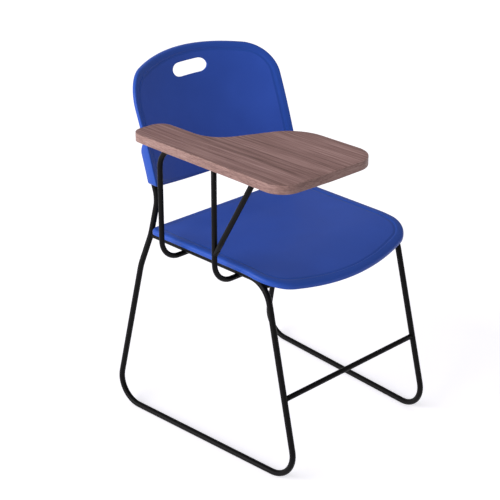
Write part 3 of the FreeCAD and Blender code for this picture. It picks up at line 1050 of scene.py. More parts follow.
@dataclass(frozen=True)
class Layout:
    """Driving sizes of the welded frame, as the CAD part has them."""

    frame_rod: float = 12.7
    runner_length: float = 526.0
    runner_front_spacing: float = 400.6
    runner_rear_spacing: float = 466.0
    rail_height: float = 414.5
    rail_front_spacing: float = 383.6
    rail_rear_spacing: float = 394.0
    front_leg_setback: float = 100.3
    knee_drop: float = 68.5
    knee_spacing: float = 432.0
    knee_setback: float = 75.0
    waist_rise: float = 83.5
    waist_spacing: float = 384.0
    waist_forward: float = 18.4
    upright_lean_deg: float = 18.3
    back_rise: float = 116.0
    back_setback: float = 22.6
    ear_rise: float = 57.0
    ear_cap: float = 7.0
    seat_depth: float = 384.8
    seat_overhang: float = 63.1
    seat_rear_gap: float = 16.0
    rim_rise: float = 11.0
    rim_height: float = 12.0
    tab_rise: float = 3.5
    tablet_rise: float = 245.3
    post_offset: float = 54.3
    weld_gap: float = 0.2
    weld_bead: float = 1.0

    @property
    def rod_r(self) -> float:
        """The frame rod's radius."""
        return self.frame_rod / 2

    @property
    def rail_front_y(self) -> float:
        """Where the front leg's and the rail's centre lines would meet."""
        return self.front_leg_setback - self.runner_length / 2

    @property
    def rail_rear_y(self) -> float:
        """Where the rail meets the rear leg."""
        return self.rail_front_y + self.seat_depth + self.seat_rear_gap - self.seat_overhang

    @property
    def seat_edge_z(self) -> float:
        """Height of the seat's rim."""
        return self.rail_height + self.rim_rise + self.rim_height

    @property
    def back_low_z(self) -> float:
        """Height of the back's lower corners."""
        return self.rail_height + self.back_rise

    @property
    def ear_top_z(self) -> float:
        """Height of the top of the back's sockets."""
        return self.back_low_z + self.ear_rise

    @property
    def upright_top_z(self) -> float:
        """Height of the uprights' ends inside the back."""
        return self.ear_top_z - self.ear_cap

    @property
    def tablet_under_z(self) -> float:
        """Height of the tablet's underside."""
        return self.rail_height + self.tablet_rise

    @property
    def post_x(self) -> float:
        """X of the tablet's posts."""
        return -(self.rail_rear_spacing / 2 + self.post_offset)

    def upright(self, hand: Hand, z: float) -> np.ndarray:
        """The upright's centre line above its waist.

        Args:
            hand: which upright.
            z: the height.

        Returns:
            The point at that height.
        """
        waist_y = self.rail_rear_y - self.waist_forward
        rise = z - self.rail_height - self.waist_rise
        lean = math.tan(math.radians(self.upright_lean_deg))
        return np.array([hand.value * self.waist_spacing / 2, waist_y + rise * lean, z])

    def side_corners(self, hand: Hand) -> np.ndarray:
        """Corners of one side frame's centre line, from inside the back round to the rail's front.

        Args:
            hand: which side frame.

        Returns:
            7 by 3.
        """
        side, rear, front = hand.value, self.runner_length / 2, -self.runner_length / 2
        rail_z = self.rail_height
        return np.array(
            [
                self.upright(hand, self.upright_top_z),
                self.upright(hand, rail_z + self.waist_rise),
                (side * self.rail_rear_spacing / 2, self.rail_rear_y, rail_z),
                (side * self.knee_spacing / 2, rear - self.knee_setback, rail_z - self.knee_drop),
                (side * self.runner_rear_spacing / 2, rear, self.rod_r),
                (side * self.runner_front_spacing / 2, front, self.rod_r),
                (side * self.rail_front_spacing / 2, self.rail_front_y, rail_z),
            ]
        )

    def rail_point(self, hand: Hand, y: float) -> np.ndarray:
        """The point of the rail's centre line at a place along the chair."""
        rear, front = self.side_corners(hand)[[2, 6]]
        return rear + (front - rear) * (y - rear[1]) / (front[1] - rear[1])


# Sub-assemblies


@dataclass
class SledFrame:
    """The two bent side rods, their cross rods and the tabs and welds between them.

    A cross rod ends inside the rods that it is welded to, at a share of their radius from the
    centre line.
    """

    layout: Layout
    finishes: Finishes
    waist_bend: float = 70.0
    joggle_bend: float = 90.0
    foot_bend: float = 54.0
    seat_bend: float = 54.0
    crossbar_height: float = 180.6
    cross_rod: float = 11.1
    cross_end_share: float = 0.6
    rear_cross_inset: float = 24.0

    def side_line(self, hand: Hand) -> np.ndarray:
        """Centre line of one side's bent rod, ending where the rail meets its own rear leg.

        Args:
            hand: which side.

        Returns:
            M by 3.
        """
        corners = self.layout.side_corners(hand)
        end = corners[2] + unit(corners[6] - corners[2]) * (self.layout.rod_r + self.layout.weld_gap)
        radii = [self.waist_bend, *[self.joggle_bend] * 2, *[self.foot_bend] * 2, self.seat_bend]
        return bent_line(np.vstack([corners, end]), radii)

    def cross_ends(self) -> dict[str, list[np.ndarray]]:
        """Where each cross rod's centre line meets those of the two side frames.

        The crossbar lies on the front legs, the rear rod on the rails, and the front rod on the
        middle of the bends between them.

        Returns:
            The right end and the left end, by CAD node.
        """
        ends: dict[str, list[np.ndarray]] = {}
        for hand in Hand:
            corners = self.layout.side_corners(hand)
            foot, top, rear = corners[5], corners[6], corners[2]
            share = (self.crossbar_height - foot[2]) / (top[2] - foot[2])
            down, back = unit(foot - top), unit(rear - top)
            half = math.acos(float(down @ back)) / 2
            in_bend = self.seat_bend / math.sin(half) - self.seat_bend
            rear_y = self.layout.rail_rear_y - self.rear_cross_inset
            ends.setdefault("front_crossbar", []).append(foot + (top - foot) * share)
            ends.setdefault("seat_front_cross_rod", []).append(top + unit(down + back) * in_bend)
            ends.setdefault("seat_rear_cross_rod", []).append(self.layout.rail_point(hand, rear_y))
        return ends

    def build_rods(self) -> None:
        """The side frames, and the rods between them."""
        coat = [self.finishes.coat]
        for hand in Hand:
            skin, side = rod_skin(self.side_line(hand), self.layout.rod_r, X_AXIS), hand.name.lower()
            put_piece(f"{side}_bent_rod", skin, coat, Slot.FRAME, f"{side}_side_frame")
        for node, (start, end) in self.cross_ends().items():
            inside = unit(end - start) * self.layout.rod_r * self.cross_end_share
            skin = rod_skin(np.array([start + inside, end - inside]), self.cross_rod / 2, Z_AXIS)
            put_piece(f"{node}_bar", skin, coat, Slot.FRAME, node)

    def build_welds(self) -> None:
        """Weld beads where the cross rods and the rails' rear ends meet the bent rods."""
        layout, beads = self.layout, []
        for node, ends in self.cross_ends().items():
            for tip, other, hand in zip(ends, ends[::-1], Hand):
                corners = layout.side_corners(hand)
                leg, rail = corners[6] - corners[5], corners[6] - corners[2]
                mains = {"front_crossbar": leg, "seat_front_cross_rod": unit(leg) - unit(rail)}
                main, radius = mains.get(node, rail), self.cross_rod / 2
                beads.append(weld_bead(tip, other - tip, main, radius, layout.rod_r, layout.weld_bead))
        for hand in Hand:
            corners = layout.side_corners(hand)
            rail, leg, radius = corners[6] - corners[2], corners[1] - corners[3], layout.rod_r
            beads.append(weld_bead(corners[2], rail, leg, radius, radius, layout.weld_bead))
        put_piece("frame_weld_beads", joined(beads), [self.finishes.coat], Slot.FRAME)

    def build(self) -> None:
        """Make the frame, and coat the seat tabs, which keep their CAD shape."""
        self.build_rods()
        self.build_welds()
        for end in ("front", "rear"):
            for hand in Hand:
                dress_node(f"seat_tab_{end}_{hand.name.lower()}", self.finishes.coat)


@dataclass
class SeatMoulding:
    """The seat: a dished polypropylene moulding with a rolled rim and a ribbed underside.

    The ribs and feet overlap the wall a little, and the saddles sink a little into the rails. The
    saddles' corners have a radius that is a share of half their width. The rings of the field and
    of the underside lie from one share of the way out from the middle to another, and are counted.
    """

    layout: Layout
    finishes: Finishes
    rear_width: float = 428.2
    front_width: float = 417.2
    front_bow: float = 35.3
    rear_bow: float = 0.01
    corner: float = 69.3
    rear_corner: float = 15.0
    wall: float = 4.5
    wall_fillet: float = 3.0
    rim_round: float = 6.5
    rim_shoulder: float = 0.5
    rim_lip: float = 1.2
    lip_drop: float = 24.0
    lip_length: float = 121.5
    dish: float = 8.0
    front_dish: float = 10.0
    dish_ease: float = 90.0
    border_inset: float = 15.0
    border_widen: float = 7.5
    rear_fade: float = 40.0
    overlap: float = 1.0
    rib_thickness: float = 2.5
    rib_edge_share: float = 0.8
    rib_pitch: float = 52.0
    rib_field_width: float = 270.0
    rib_field_depth: float = 190.0
    saddle_width: float = 13.0
    saddle_length: float = 210.0
    saddle_round_share: float = 0.6
    saddle_sink: float = 0.6
    foot_ease: float = 0.6
    boss: float = 15.0
    tab_inset: float = 62.0
    tab_reach: float = 27.0
    stretch_points: int = 26
    field_rings: tuple[float, float, int] = (0.03, 0.97, 30)
    under_rings: tuple[float, float, int] = (0.95, 0.03, 24)
    rib_points: int = 24
    foot_points: int = 40

    @property
    def rear_y(self) -> float:
        """The seat's rear edge."""
        return self.layout.rail_rear_y - self.layout.seat_rear_gap

    @property
    def front_y(self) -> float:
        """The seat's foremost edge."""
        return self.rear_y - self.layout.seat_depth

    def outline(self) -> BowedOutline:
        """The seat in plan: a bowed front, and a straight rear, drawn as a bow too flat to see.

        Returns:
            The outline.
        """
        return BowedOutline(
            low_half=self.front_width / 2,
            high_half=self.rear_width / 2,
            low_side=self.front_y + self.front_bow,
            high_side=self.rear_y,
            low_bow=self.front_bow,
            high_bow=self.rear_bow,
            low_round=self.corner,
            high_round=self.rear_corner,
        )

    def top(self, x: np.ndarray, y: np.ndarray) -> np.ndarray:
        """Height of the upper surface.

        The rim height, less the lip's drop times the square of the share of the lip passed, less
        the dish times one minus the square of the share of the half width. The dish grows from the
        level rear edge by the square of a quarter sine wave, and changes along the lip.

        Args:
            x: across the chair.
            y: along the chair.

        Returns:
            The height at each point.
        """
        fall = np.maximum(self.front_y + self.lip_length - y, 0) / self.lip_length
        dish = self.dish * soft_rise((self.rear_y - y) / self.dish_ease)
        dish = dish + (self.front_dish - self.dish) * np.minimum(fall, 1)
        across = (x / (self.rear_width / 2)) ** 2
        return self.layout.seat_edge_z - self.lip_drop * fall**2 - dish * (1 - across)

    def relief_share(self, y: np.ndarray) -> np.ndarray:
        """How much of the border's relief there is: none at the rear edge, all of it further in."""
        return soft_rise((self.rear_y - y) / self.rear_fade)

    def profile(self) -> list[tuple[float, float, float]]:
        """The rim's cross-section from the border of the field round to the underside.

        Returns:
            Inset from the outline, further inset at the sides, and drop below the upper surface.
        """
        border = BeadedBorder(self.border_inset, self.rim_round, shoulder=self.rim_shoulder)
        steps = [(inset, self.border_widen * share, drop) for inset, share, drop in border.steps()]
        for across, down in quarter_round(1.0, 8)[1:]:
            drop = border.shoulder + (self.rim_round - border.shoulder) * down
            steps.append((self.rim_round * across, 0.0, drop))
        deep, lip, wall, fillet = self.layout.rim_height, self.rim_lip, self.wall, self.wall_fillet
        lip_middle, fillet_middle = lip * ROUND_MIDDLE, fillet * ROUND_MIDDLE
        under = [(0.0, deep - lip), (lip_middle, deep - lip_middle), (lip, deep), (wall - lip, deep)]
        under += [(wall - lip_middle, deep - lip_middle), (wall, deep - lip), (wall, wall + fillet)]
        under += [(wall + fillet_middle, wall + fillet_middle), (wall + fillet, wall)]
        return steps + [(inset, 0.0, drop) for inset, drop in under]

    def skin(self) -> tuple[np.ndarray, list[list[int]], list[int]]:
        """The closed skin, ring by ring: out over the field, round the rim and in underneath.

        Returns:
            Points, faces, and for each face 0 where it is pebbled or 1 where it is smooth.
        """
        outline, profile, count = self.outline(), self.profile(), self.stretch_points
        middle = np.array([0.0, (self.front_y + self.rear_y) / 2])
        first = outline.inset(profile[0][0], profile[0][1]).points(count)
        rows = [
            (middle + (first - middle) * share, profile[0][2], 0)
            for share in np.linspace(*self.field_rings)
        ]
        rows += [(outline.inset(inset, sides).points(count), drop, 1) for inset, sides, drop in profile]
        last = rows[-1][0]
        shares = np.linspace(*self.under_rings)
        rows += [(middle + (last - middle) * share, self.wall, 1) for share in shares]
        plan, drops, smooth = zip(*rows)
        flat, below = np.array(plan), np.array(drops)[:, None]
        # What lies deeper than the groove belongs to the rim, and isn't faded out at the rear
        rim = below > BeadedBorder.groove
        relief = np.where(rim, 1.0, self.relief_share(flat[..., 1]))
        height = self.top(flat[..., 0], flat[..., 1]) - below * relief
        points, faces = capped_rings(np.concatenate([flat, height[..., None]], axis=-1))
        columns = flat.shape[1]
        slots = np.repeat(smooth[:-1], columns).tolist()
        return points, faces, slots + [0] * columns + [1] * columns

    def rib(self, start: np.ndarray, end: np.ndarray) -> Skin:
        """One rib under the seat, from inside its wall down to the rim's depth.

        A tapering four-cornered section is carried along a line, below the upper surface.

        Args:
            start: one end, in plan.
            end: the other end, in plan.

        Returns:
            Points and faces.
        """
        line = start + (end - start) * np.linspace(0, 1, self.rib_points)[:, None]
        run = unit(end - start)
        side = np.array([-run[1], run[0]]) * self.rib_thickness / 2
        edge = side * self.rib_edge_share
        high, low = self.wall - self.overlap, self.layout.rim_height
        loops = []
        for offset, drop in ((side, high), (edge, low), (-edge, low), (-side, high)):
            flat = line + offset
            loops.append(np.column_stack([flat, self.top(*flat.T) - drop]))
        return capped_rings(np.stack(loops, axis=1))

    def foot(self, plan: np.ndarray, low: float) -> Skin:
        """A pad under the seat: its outline in plan, from a level foot up into the wall.

        Args:
            plan: the outline, as a closed ring.
            low: height of the foot.

        Returns:
            Points and faces.
        """
        ease = self.foot_ease
        high = self.top(*plan.T) - self.wall + self.overlap
        flat = np.stack([plan - unit(plan - plan.mean(0)) * ease, plan, plan])
        height = np.stack([np.full(len(plan), low), np.full(len(plan), low + ease), high])
        return capped_rings(np.concatenate([flat, height[..., None]], axis=-1))

    def feet(self) -> list[Skin]:
        """The saddles that bear on the rails and the bosses over the tabs.

        Returns:
            Points and faces of each.
        """
        layout, circle, parts = self.layout, unit_circle(self.foot_points), []
        saddle_y = (layout.rail_front_y + SledFrame.seat_bend + layout.rail_rear_y) / 2
        tab_ys = (layout.rail_front_y + self.tab_inset, layout.rail_rear_y - self.tab_inset)
        half = np.array([self.saddle_width, self.saddle_length]) / 2
        corner = half[0] * self.saddle_round_share
        for hand in Hand:
            middle = np.array([layout.rail_point(hand, saddle_y)[0], saddle_y])
            plan = middle + np.sign(circle) * (half - corner) + circle * corner
            parts.append(self.foot(plan, layout.rail_height + layout.rod_r - self.saddle_sink))
            for y in tab_ys:
                x = hand.value * (abs(layout.rail_point(hand, y)[0]) - self.tab_reach)
                plan = np.array([x, y]) + circle * self.boss / 2
                parts.append(self.foot(plan, layout.rail_height + layout.tab_rise))
        return parts

    def ribs(self) -> list[Skin]:
        """The lattice of ribs: those that run along the chair, then those across it.

        Returns:
            Points and faces of each.
        """
        parts = []
        middle = np.array([0.0, (self.front_y + self.lip_length + self.rear_y) / 2])
        half = np.array([self.rib_field_width, self.rib_field_depth]) / 2
        for axis, other in ((0, 1), (1, 0)):
            count = int(half[axis] // self.rib_pitch)
            step, along = np.eye(2)[axis] * self.rib_pitch, np.eye(2)[other] * half
            for number in range(-count, count + 1):
                centre = middle + step * number
                parts.append(self.rib(centre - along, centre + along))
        return parts

    def build(self) -> None:
        """Make the seat and its underside."""
        points, faces, smooth = self.skin()
        both, rim, slot = [self.finishes.field, self.finishes.rim], [self.finishes.rim], Slot.MOULDING
        put_piece("seat_moulding", (points, faces), both, slot, "seat_shell", face_materials=smooth)
        put_piece("seat_ribs", joined(self.ribs()), rim, slot)
        put_piece("seat_feet", joined(self.feet()), rim, slot)
        dress_node("seat_screws", self.finishes.zinc)


@dataclass
class BackMoulding:
    """The back: a hollow-faced moulding with a hand slot and sockets that hold the uprights.

    Beside each socket the edge wall is deep, like an ear; elsewhere it is a plain flange. The rings
    of the field and of the rear lie from one share of the way out from the hand slot to another,
    and are counted, as are those of a socket on its way up.
    """

    layout: Layout
    finishes: Finishes
    width: float = 409.6
    side_height: float = 203.1
    dome: float = 25.0
    corner: float = 68.0
    foot_corner: float = 6.5
    lower_bow: float = 28.7
    hollow: float = 55.4
    hollow_gain: float = 5.1
    lean_deg: float = 17.2
    curl: float = 17.8
    wall: float = 4.0
    wall_fillet: float = 2.0
    edge_round: float = 5.0
    edge_lip: float = 1.1
    border_inset: float = 14.5
    border_widen: float = 5.0
    border_foot: float = -9.0
    foot_fade: float = 25.0
    ear_depth: float = 28.3
    ear_width: float = 24.0
    ear_hold: float = 4.0
    ear_fade: float = 35.4
    ear_side_fade: float = 1.5
    socket_inset: float = 1.5
    socket_round: float = 2.2
    socket_rise: float = 0.6
    overlap: float = 1.0
    flange_depth: float = 11.4
    slot_width: float = 96.0
    slot_height: float = 28.0
    slot_end: float = 22.0
    slot_drop: float = 42.6
    slot_round: float = 1.6
    stretch_points: int = 30
    field_rings: tuple[float, float, int] = (0.02, 0.98, 34)
    rear_rings: tuple[float, float, int] = (0.97, 0.0, 30)
    socket_rings: tuple[float, float, int] = (0.02, 0.97, 22)
    socket_foot_draw: tuple[float, float] = (3.0, 1.0)
    socket_top_draw: tuple[float, float] = (1.5, 3.0)

    @property
    def high_z(self) -> float:
        """Height of the dome's top."""
        return self.layout.back_low_z + self.side_height + self.dome

    def outline(self) -> BowedOutline:
        """The back seen from the front: a bowed foot and a domed top.

        Returns:
            The outline.
        """
        return BowedOutline(
            low_half=self.width / 2,
            high_half=self.width / 2,
            low_side=self.layout.back_low_z,
            high_side=self.layout.back_low_z + self.side_height,
            low_bow=self.lower_bow,
            high_bow=self.dome,
            low_round=self.foot_corner,
            high_round=self.corner,
        )

    def face(self, x: np.ndarray, z: np.ndarray) -> np.ndarray:
        """Y of the front surface.

        The lower edge's place, plus the lean's slope times the height, plus the curl times the
        square of the share of the height, less the hollow times the square of the share of the
        half width.

        Args:
            x: across the chair.
            z: the height.

        Returns:
            Y at each point.
        """
        rise = (z - self.layout.back_low_z) / (self.high_z - self.layout.back_low_z)
        low_y = self.layout.rail_rear_y + self.layout.back_setback
        lean = math.tan(math.radians(self.lean_deg))
        middle = low_y + (z - self.layout.back_low_z) * lean + self.curl * rise**2
        return middle - (self.hollow + self.hollow_gain * rise) * (x / (self.width / 2)) ** 2

    def side_depth(self, x: np.ndarray, z: np.ndarray) -> np.ndarray:
        """Depth of the edge wall: deep beside the sockets, a plain flange elsewhere.

        A little above the sockets it falls by half a cosine wave; past their inner faces it falls
        in a straight line.

        Args:
            x: across the chair.
            z: the height.

        Returns:
            The depth at each point.
        """
        above = np.clip((z - self.layout.ear_top_z - self.ear_hold) / self.ear_fade, 0, 1)
        ear = self.ear_depth + (self.flange_depth - self.ear_depth) * (1 - np.cos(np.pi * above)) / 2
        beside = np.clip((np.abs(x) - self.width / 2 + self.ear_width) / self.ear_side_fade, 0, 1)
        return self.flange_depth + (ear - self.flange_depth) * beside

    def foot_z(self, x: np.ndarray) -> np.ndarray:
        """Height of the foot's edge: on the bow's circle, then on the corner's circle.

        Args:
            x: across the chair.

        Returns:
            The height at each point.
        """
        outline = self.outline()
        bow_centre, centre, on_bow, _ = outline.corner(-1)
        bow_radius = float(np.linalg.norm(on_bow - bow_centre))
        across = np.minimum(np.abs(x), on_bow[0])
        on_arc = bow_centre[1] - np.sqrt(bow_radius**2 - across**2)
        past = np.clip(np.abs(x) - centre[0], 0, outline.low_round)
        on_corner = centre[1] - np.sqrt(outline.low_round**2 - past**2)
        return np.where(np.abs(x) <= on_bow[0], on_arc, on_corner)

    def slot_ring(self, grow: float, count: int) -> np.ndarray:
        """The hand slot's outline, from its low middle round the right end to its high middle and back.

        Half of each flat, and half ellipses at the flats' ends: the end's length times the cosine
        across, and half the slot's height times the sine.

        Args:
            grow: how far it is drawn out all round.
            count: points on half a flat; each end has three times as many.

        Returns:
            Ten times count by 2.
        """
        half, end = self.slot_height / 2 + grow, self.slot_end + grow
        reach, z = self.slot_width / 2 - self.slot_end, self.high_z - self.slot_drop
        turn = -math.pi / 2 + math.pi * np.arange(3 * count) / (3 * count)
        curve = np.stack([reach + end * np.cos(turn), z + half * np.sin(turn)], axis=-1)
        low = line_points(np.array([0.0, z - half]), np.array([reach, z - half]), count)
        high = line_points(np.array([reach, z + half]), np.array([0.0, z + half]), count)
        right = np.concatenate([low, curve, high, [[0.0, z + half]]])
        left = right[1:-1][::-1] * np.array([-1.0, 1.0])
        return np.concatenate([right, left])

    def relief_share(self, x: np.ndarray, z: np.ndarray) -> np.ndarray:
        """How much of the border's relief there is: none at the foot's edge, all of it further in."""
        return soft_rise((z - self.foot_z(x)) / self.foot_fade)

    def profile(self) -> list[tuple[float, float, float]]:
        """The edge's cross-section from where its rounding starts round to the rear surface.

        Returns:
            Inset from the outline, share of the edge wall's depth, and added depth in millimetres.
        """
        steps = [(inset, 0.0, depth) for inset, depth in quarter_round(self.edge_round, 8)[1:]]
        lip, wall, fillet = self.edge_lip, self.wall, self.wall_fillet
        lip_middle, fillet_middle = lip * ROUND_MIDDLE, fillet * ROUND_MIDDLE
        # One more ring half way down the wall, and one on its inner side, keep the faces short
        steps += [(0.0, 0.5, 1.0), (0.0, 1.0, -lip), (lip_middle, 1.0, -lip_middle), (lip, 1.0, 0.0)]
        steps += [(wall - lip, 1.0, 0.0), (wall - lip_middle, 1.0, -lip_middle), (wall, 1.0, -lip)]
        steps += [(wall, 0.3, wall), (wall + fillet_middle, 0.0, wall + fillet_middle)]
        return steps + [(wall + fillet, 0.0, wall)]

    def skin(self) -> tuple[np.ndarray, list[list[int]], list[int]]:
        """The closed skin: from the slot out over the face, round the edge, in behind to the slot.

        Returns:
            Points, faces, and for each face 0 where it is pebbled or 1 where it is smooth.
        """
        outline, count = self.outline(), self.stretch_points
        border = BeadedBorder(self.border_inset, self.edge_round)
        slot, lip = self.slot_ring(0.0, count), quarter_round(self.slot_round, 5)[::-1]
        rows = [(self.slot_ring(grow, count), border.field_drop + down, down > 0) for grow, down in lip]
        edges = [
            (outline.inset(inset, self.border_widen * share, self.border_foot * share).points(count), drop)
            for inset, share, drop in border.steps()
        ]
        inner, outer = rows[-1][0], edges[0][0]
        for share in np.linspace(*self.field_rings):
            ring = inner + (outer - inner) * share
            rows.append((ring, border.field_drop * self.relief_share(*ring.T), False))
        rows += [(ring, drop * self.relief_share(*ring.T), True) for ring, drop in edges]
        for inset, share, extra in self.profile():
            ring = outline.inset(inset).points(count)
            if share == 0.0 and extra < self.edge_round:
                eased = border.shoulder / self.edge_round * self.relief_share(*ring.T)
                extra = self.edge_round * eased + extra * (1 - eased)
            rows.append((ring, self.side_depth(*ring.T) * share + extra, True))
        last = rows[-1][0]
        shares = np.linspace(*self.rear_rings)
        rows += [(slot + (last - slot) * share, self.wall, True) for share in shares]
        plan, depths, smooth = zip(*rows)
        x, z = np.moveaxis(np.array(plan), -1, 0)
        y = self.face(x, z) + np.array([np.broadcast_to(depth, len(slot)) for depth in depths])
        slots = np.repeat(np.array(smooth, int), len(slot)).tolist()
        faces = ring_faces(*x.shape, closed=True)
        return np.stack([x, y, z], axis=-1).reshape(-1, 3), faces, slots

    def socket(self, hand: Hand) -> Skin:
        """The block behind one side that holds the upright.

        A rounded four-sided section, between the inner face and the edge wall and between the
        wall's rear and the edge wall's depth, is carried up from the foot's edge to just above the
        rod. Its first and last rings draw in, which rounds its two ends.

        Args:
            hand: which side.

        Returns:
            Points and faces.
        """
        middle = np.linspace(*self.socket_rings)
        share = np.concatenate([[0.0, 0.0], middle, [1.0, 1.0]])[:, None]
        level = np.zeros(len(middle))
        draw_in = np.concatenate([self.socket_foot_draw, level, self.socket_top_draw])[:, None]
        inner, outer = self.width / 2 - self.ear_width, self.width / 2 - self.socket_inset
        front, rear, corner = self.wall - self.overlap, self.ear_depth, self.socket_round
        turn = np.linspace(0, math.pi / 2, 5) + np.arange(4)[:, None] * math.pi / 2
        signs = np.repeat([(1, 1), (-1, 1), (-1, -1), (1, -1)], 5, axis=0)
        half_x = (outer - inner) / 2 - corner - draw_in
        half_y = (rear - front) / 2 - corner - draw_in / 2
        x = (outer + inner) / 2 + signs[:, 0] * half_x + np.cos(turn).ravel() * corner
        depth = (front + rear) / 2 + signs[:, 1] * half_y + np.sin(turn).ravel() * corner
        low = self.foot_z(x) + self.socket_rise
        height = low + (self.layout.ear_top_z - low) * share
        return capped_rings(np.stack([hand.value * x, self.face(x, height) + depth, height], axis=-1))

    def build(self) -> None:
        """Make the back and its sockets, and dress its rivets."""
        points, faces, smooth = self.skin()
        both, rim, slot = [self.finishes.field, self.finishes.rim], [self.finishes.rim], Slot.MOULDING
        put_piece("back_moulding", (points, faces), both, slot, "back_shell", face_materials=smooth)
        put_piece("back_sockets", joined([self.socket(hand) for hand in Hand]), rim, slot)
        dress_node("back_rivets", self.finishes.zinc)


@dataclass
class WritingTablet:
    """The tablet: a board with a wood-pattern laminate, a backing sheet and an edge band.

    The sheets' rings fan out from a point in the middle of the writing end, from one share of the
    way to another, and are counted.
    """

    layout: Layout
    finishes: Finishes
    outer_offset: float = 40.6
    rear_y: float = 121.8
    length: float = 427.0
    arm_width: float = 87.1
    width: float = 256.5
    waist_y: float = -22.7
    shoulder_y: float = -97.4
    outer_taper: float = 4.9
    front_taper: float = 6.6
    radii: tuple[float, ...] = (26.4, 27.9, 73.6, 87.8, 55.0, 500.0, 42.5)
    thickness: float = 17.5
    sheet: float = 0.8
    sheet_ease: float = 0.15
    band: float = 1.2
    band_ease: float = 0.5
    fan_centre: tuple[float, float] = (-246.0, -75.0)
    fan_rings: tuple[float, float, int] = (0.05, 0.95, 8)

    def outline(self, inset: float = 0.0) -> np.ndarray:
        """The paddle outline in plan: a narrow arm that widens through an S to the writing end.

        Args:
            inset: how far it is drawn in along its own normals.

        Returns:
            N by 2.
        """
        outer = self.layout.post_x - self.outer_offset
        arm, inner = outer + self.arm_width, outer + self.width
        front = self.rear_y - self.length
        corners = np.array(
            [
                (outer + self.outer_taper, self.rear_y, 0.0),
                (arm, self.rear_y, 0.0),
                (arm, self.waist_y, 0.0),
                (inner, self.shoulder_y, 0.0),
                (inner, front, 0.0),
                ((inner + outer) / 2, front, 0.0),
                (outer, front + self.front_taper, 0.0),
            ]
        )
        start = (corners[0] + corners[-1]) / 2
        line = bent_line(np.vstack([start, corners, start]), list(self.radii), step_deg=4.0)
        line = refine_line(line, longest=12.0)[:-1, :2]
        ahead = np.roll(line, -1, axis=0) - np.roll(line, 1, axis=0)
        return line + unit(np.stack([ahead[:, 1], -ahead[:, 0]], axis=-1)) * inset

    def eased_rings(
        self, low: float, high: float, inset: float, ease: float, count: int
    ) -> list[tuple[np.ndarray, float]]:
        """The outline up over a sheet's rounded edge, as a quarter circle below and one above.

        Args:
            low: its underside, above the tablet's underside.
            high: its top, above the tablet's underside.
            inset: how far it stands in from the tablet's edge.
            ease: size of the rounding.
            count: rings in each quarter circle.

        Returns:
            Each ring in plan, and its height above the tablet's underside.
        """
        steps = quarter_round(ease, count)
        under = [(self.outline(inset + drawn), low + rise) for drawn, rise in steps]
        return under + [(self.outline(inset + drawn), high - rise) for drawn, rise in steps[::-1]]

    def lifted(self, stack: list[tuple[np.ndarray, float]]) -> np.ndarray:
        """Lift rings to their heights.

        Args:
            stack: each ring in plan, and its height above the tablet's underside.

        Returns:
            Rings by points by 3.
        """
        heights = [np.full(len(ring), height) for ring, height in stack]
        flat, z = np.array([ring for ring, _ in stack]), np.array(heights) + self.layout.tablet_under_z
        return np.concatenate([flat, z[..., None]], axis=-1)

    def sheet_skin(self, low: float, high: float) -> Skin:
        """A flat sheet inside the edge band, with eased edges.

        Args:
            low: its underside, above the tablet's underside.
            high: its top, above the tablet's underside.

        Returns:
            Points and faces.
        """
        outer, middle = self.outline(self.band), np.array(self.fan_centre)
        shares = np.linspace(*self.fan_rings)
        under = [(middle + (outer - middle) * share, low) for share in shares]
        over = [(middle + (outer - middle) * share, high) for share in shares[::-1]]
        edge = self.eased_rings(low, high, self.band, self.sheet_ease, 4)
        points, faces = capped_rings(self.lifted(under + edge + over))
        points[-2:, :2] = middle
        return points, faces

    def band_skin(self) -> Skin:
        """The edge band: a thin upright ribbon round the tablet with its outer edges rounded over.

        Returns:
            Points and faces.
        """
        inner = self.outline(self.band)
        edge = self.eased_rings(0.0, self.thickness, 0.0, self.band_ease, 5)
        rings = self.lifted([(inner, 0.0), *edge, (inner, self.thickness)])
        return rings.reshape(-1, 3), ring_faces(*rings.shape[:2], closed=True)

    def build(self) -> None:
        """Make the laminate, backer and edge band, and dress the board."""
        finishes = self.finishes
        top = self.sheet_skin(self.thickness - self.sheet, self.thickness)
        under = self.sheet_skin(0.0, self.sheet)
        put_piece("tablet_top_sheet", top, [finishes.laminate], Slot.LAMINATE, "tablet_laminate")
        put_piece("tablet_back_sheet", under, [finishes.backer], Slot.BACKER, "tablet_backer")
        put_piece("tablet_edging", self.band_skin(), [finishes.edge], Slot.EDGE, "tablet_edge_band")
        dress_node("tablet_core", finishes.board)
        dress_node("tablet_screws", finishes.zinc)


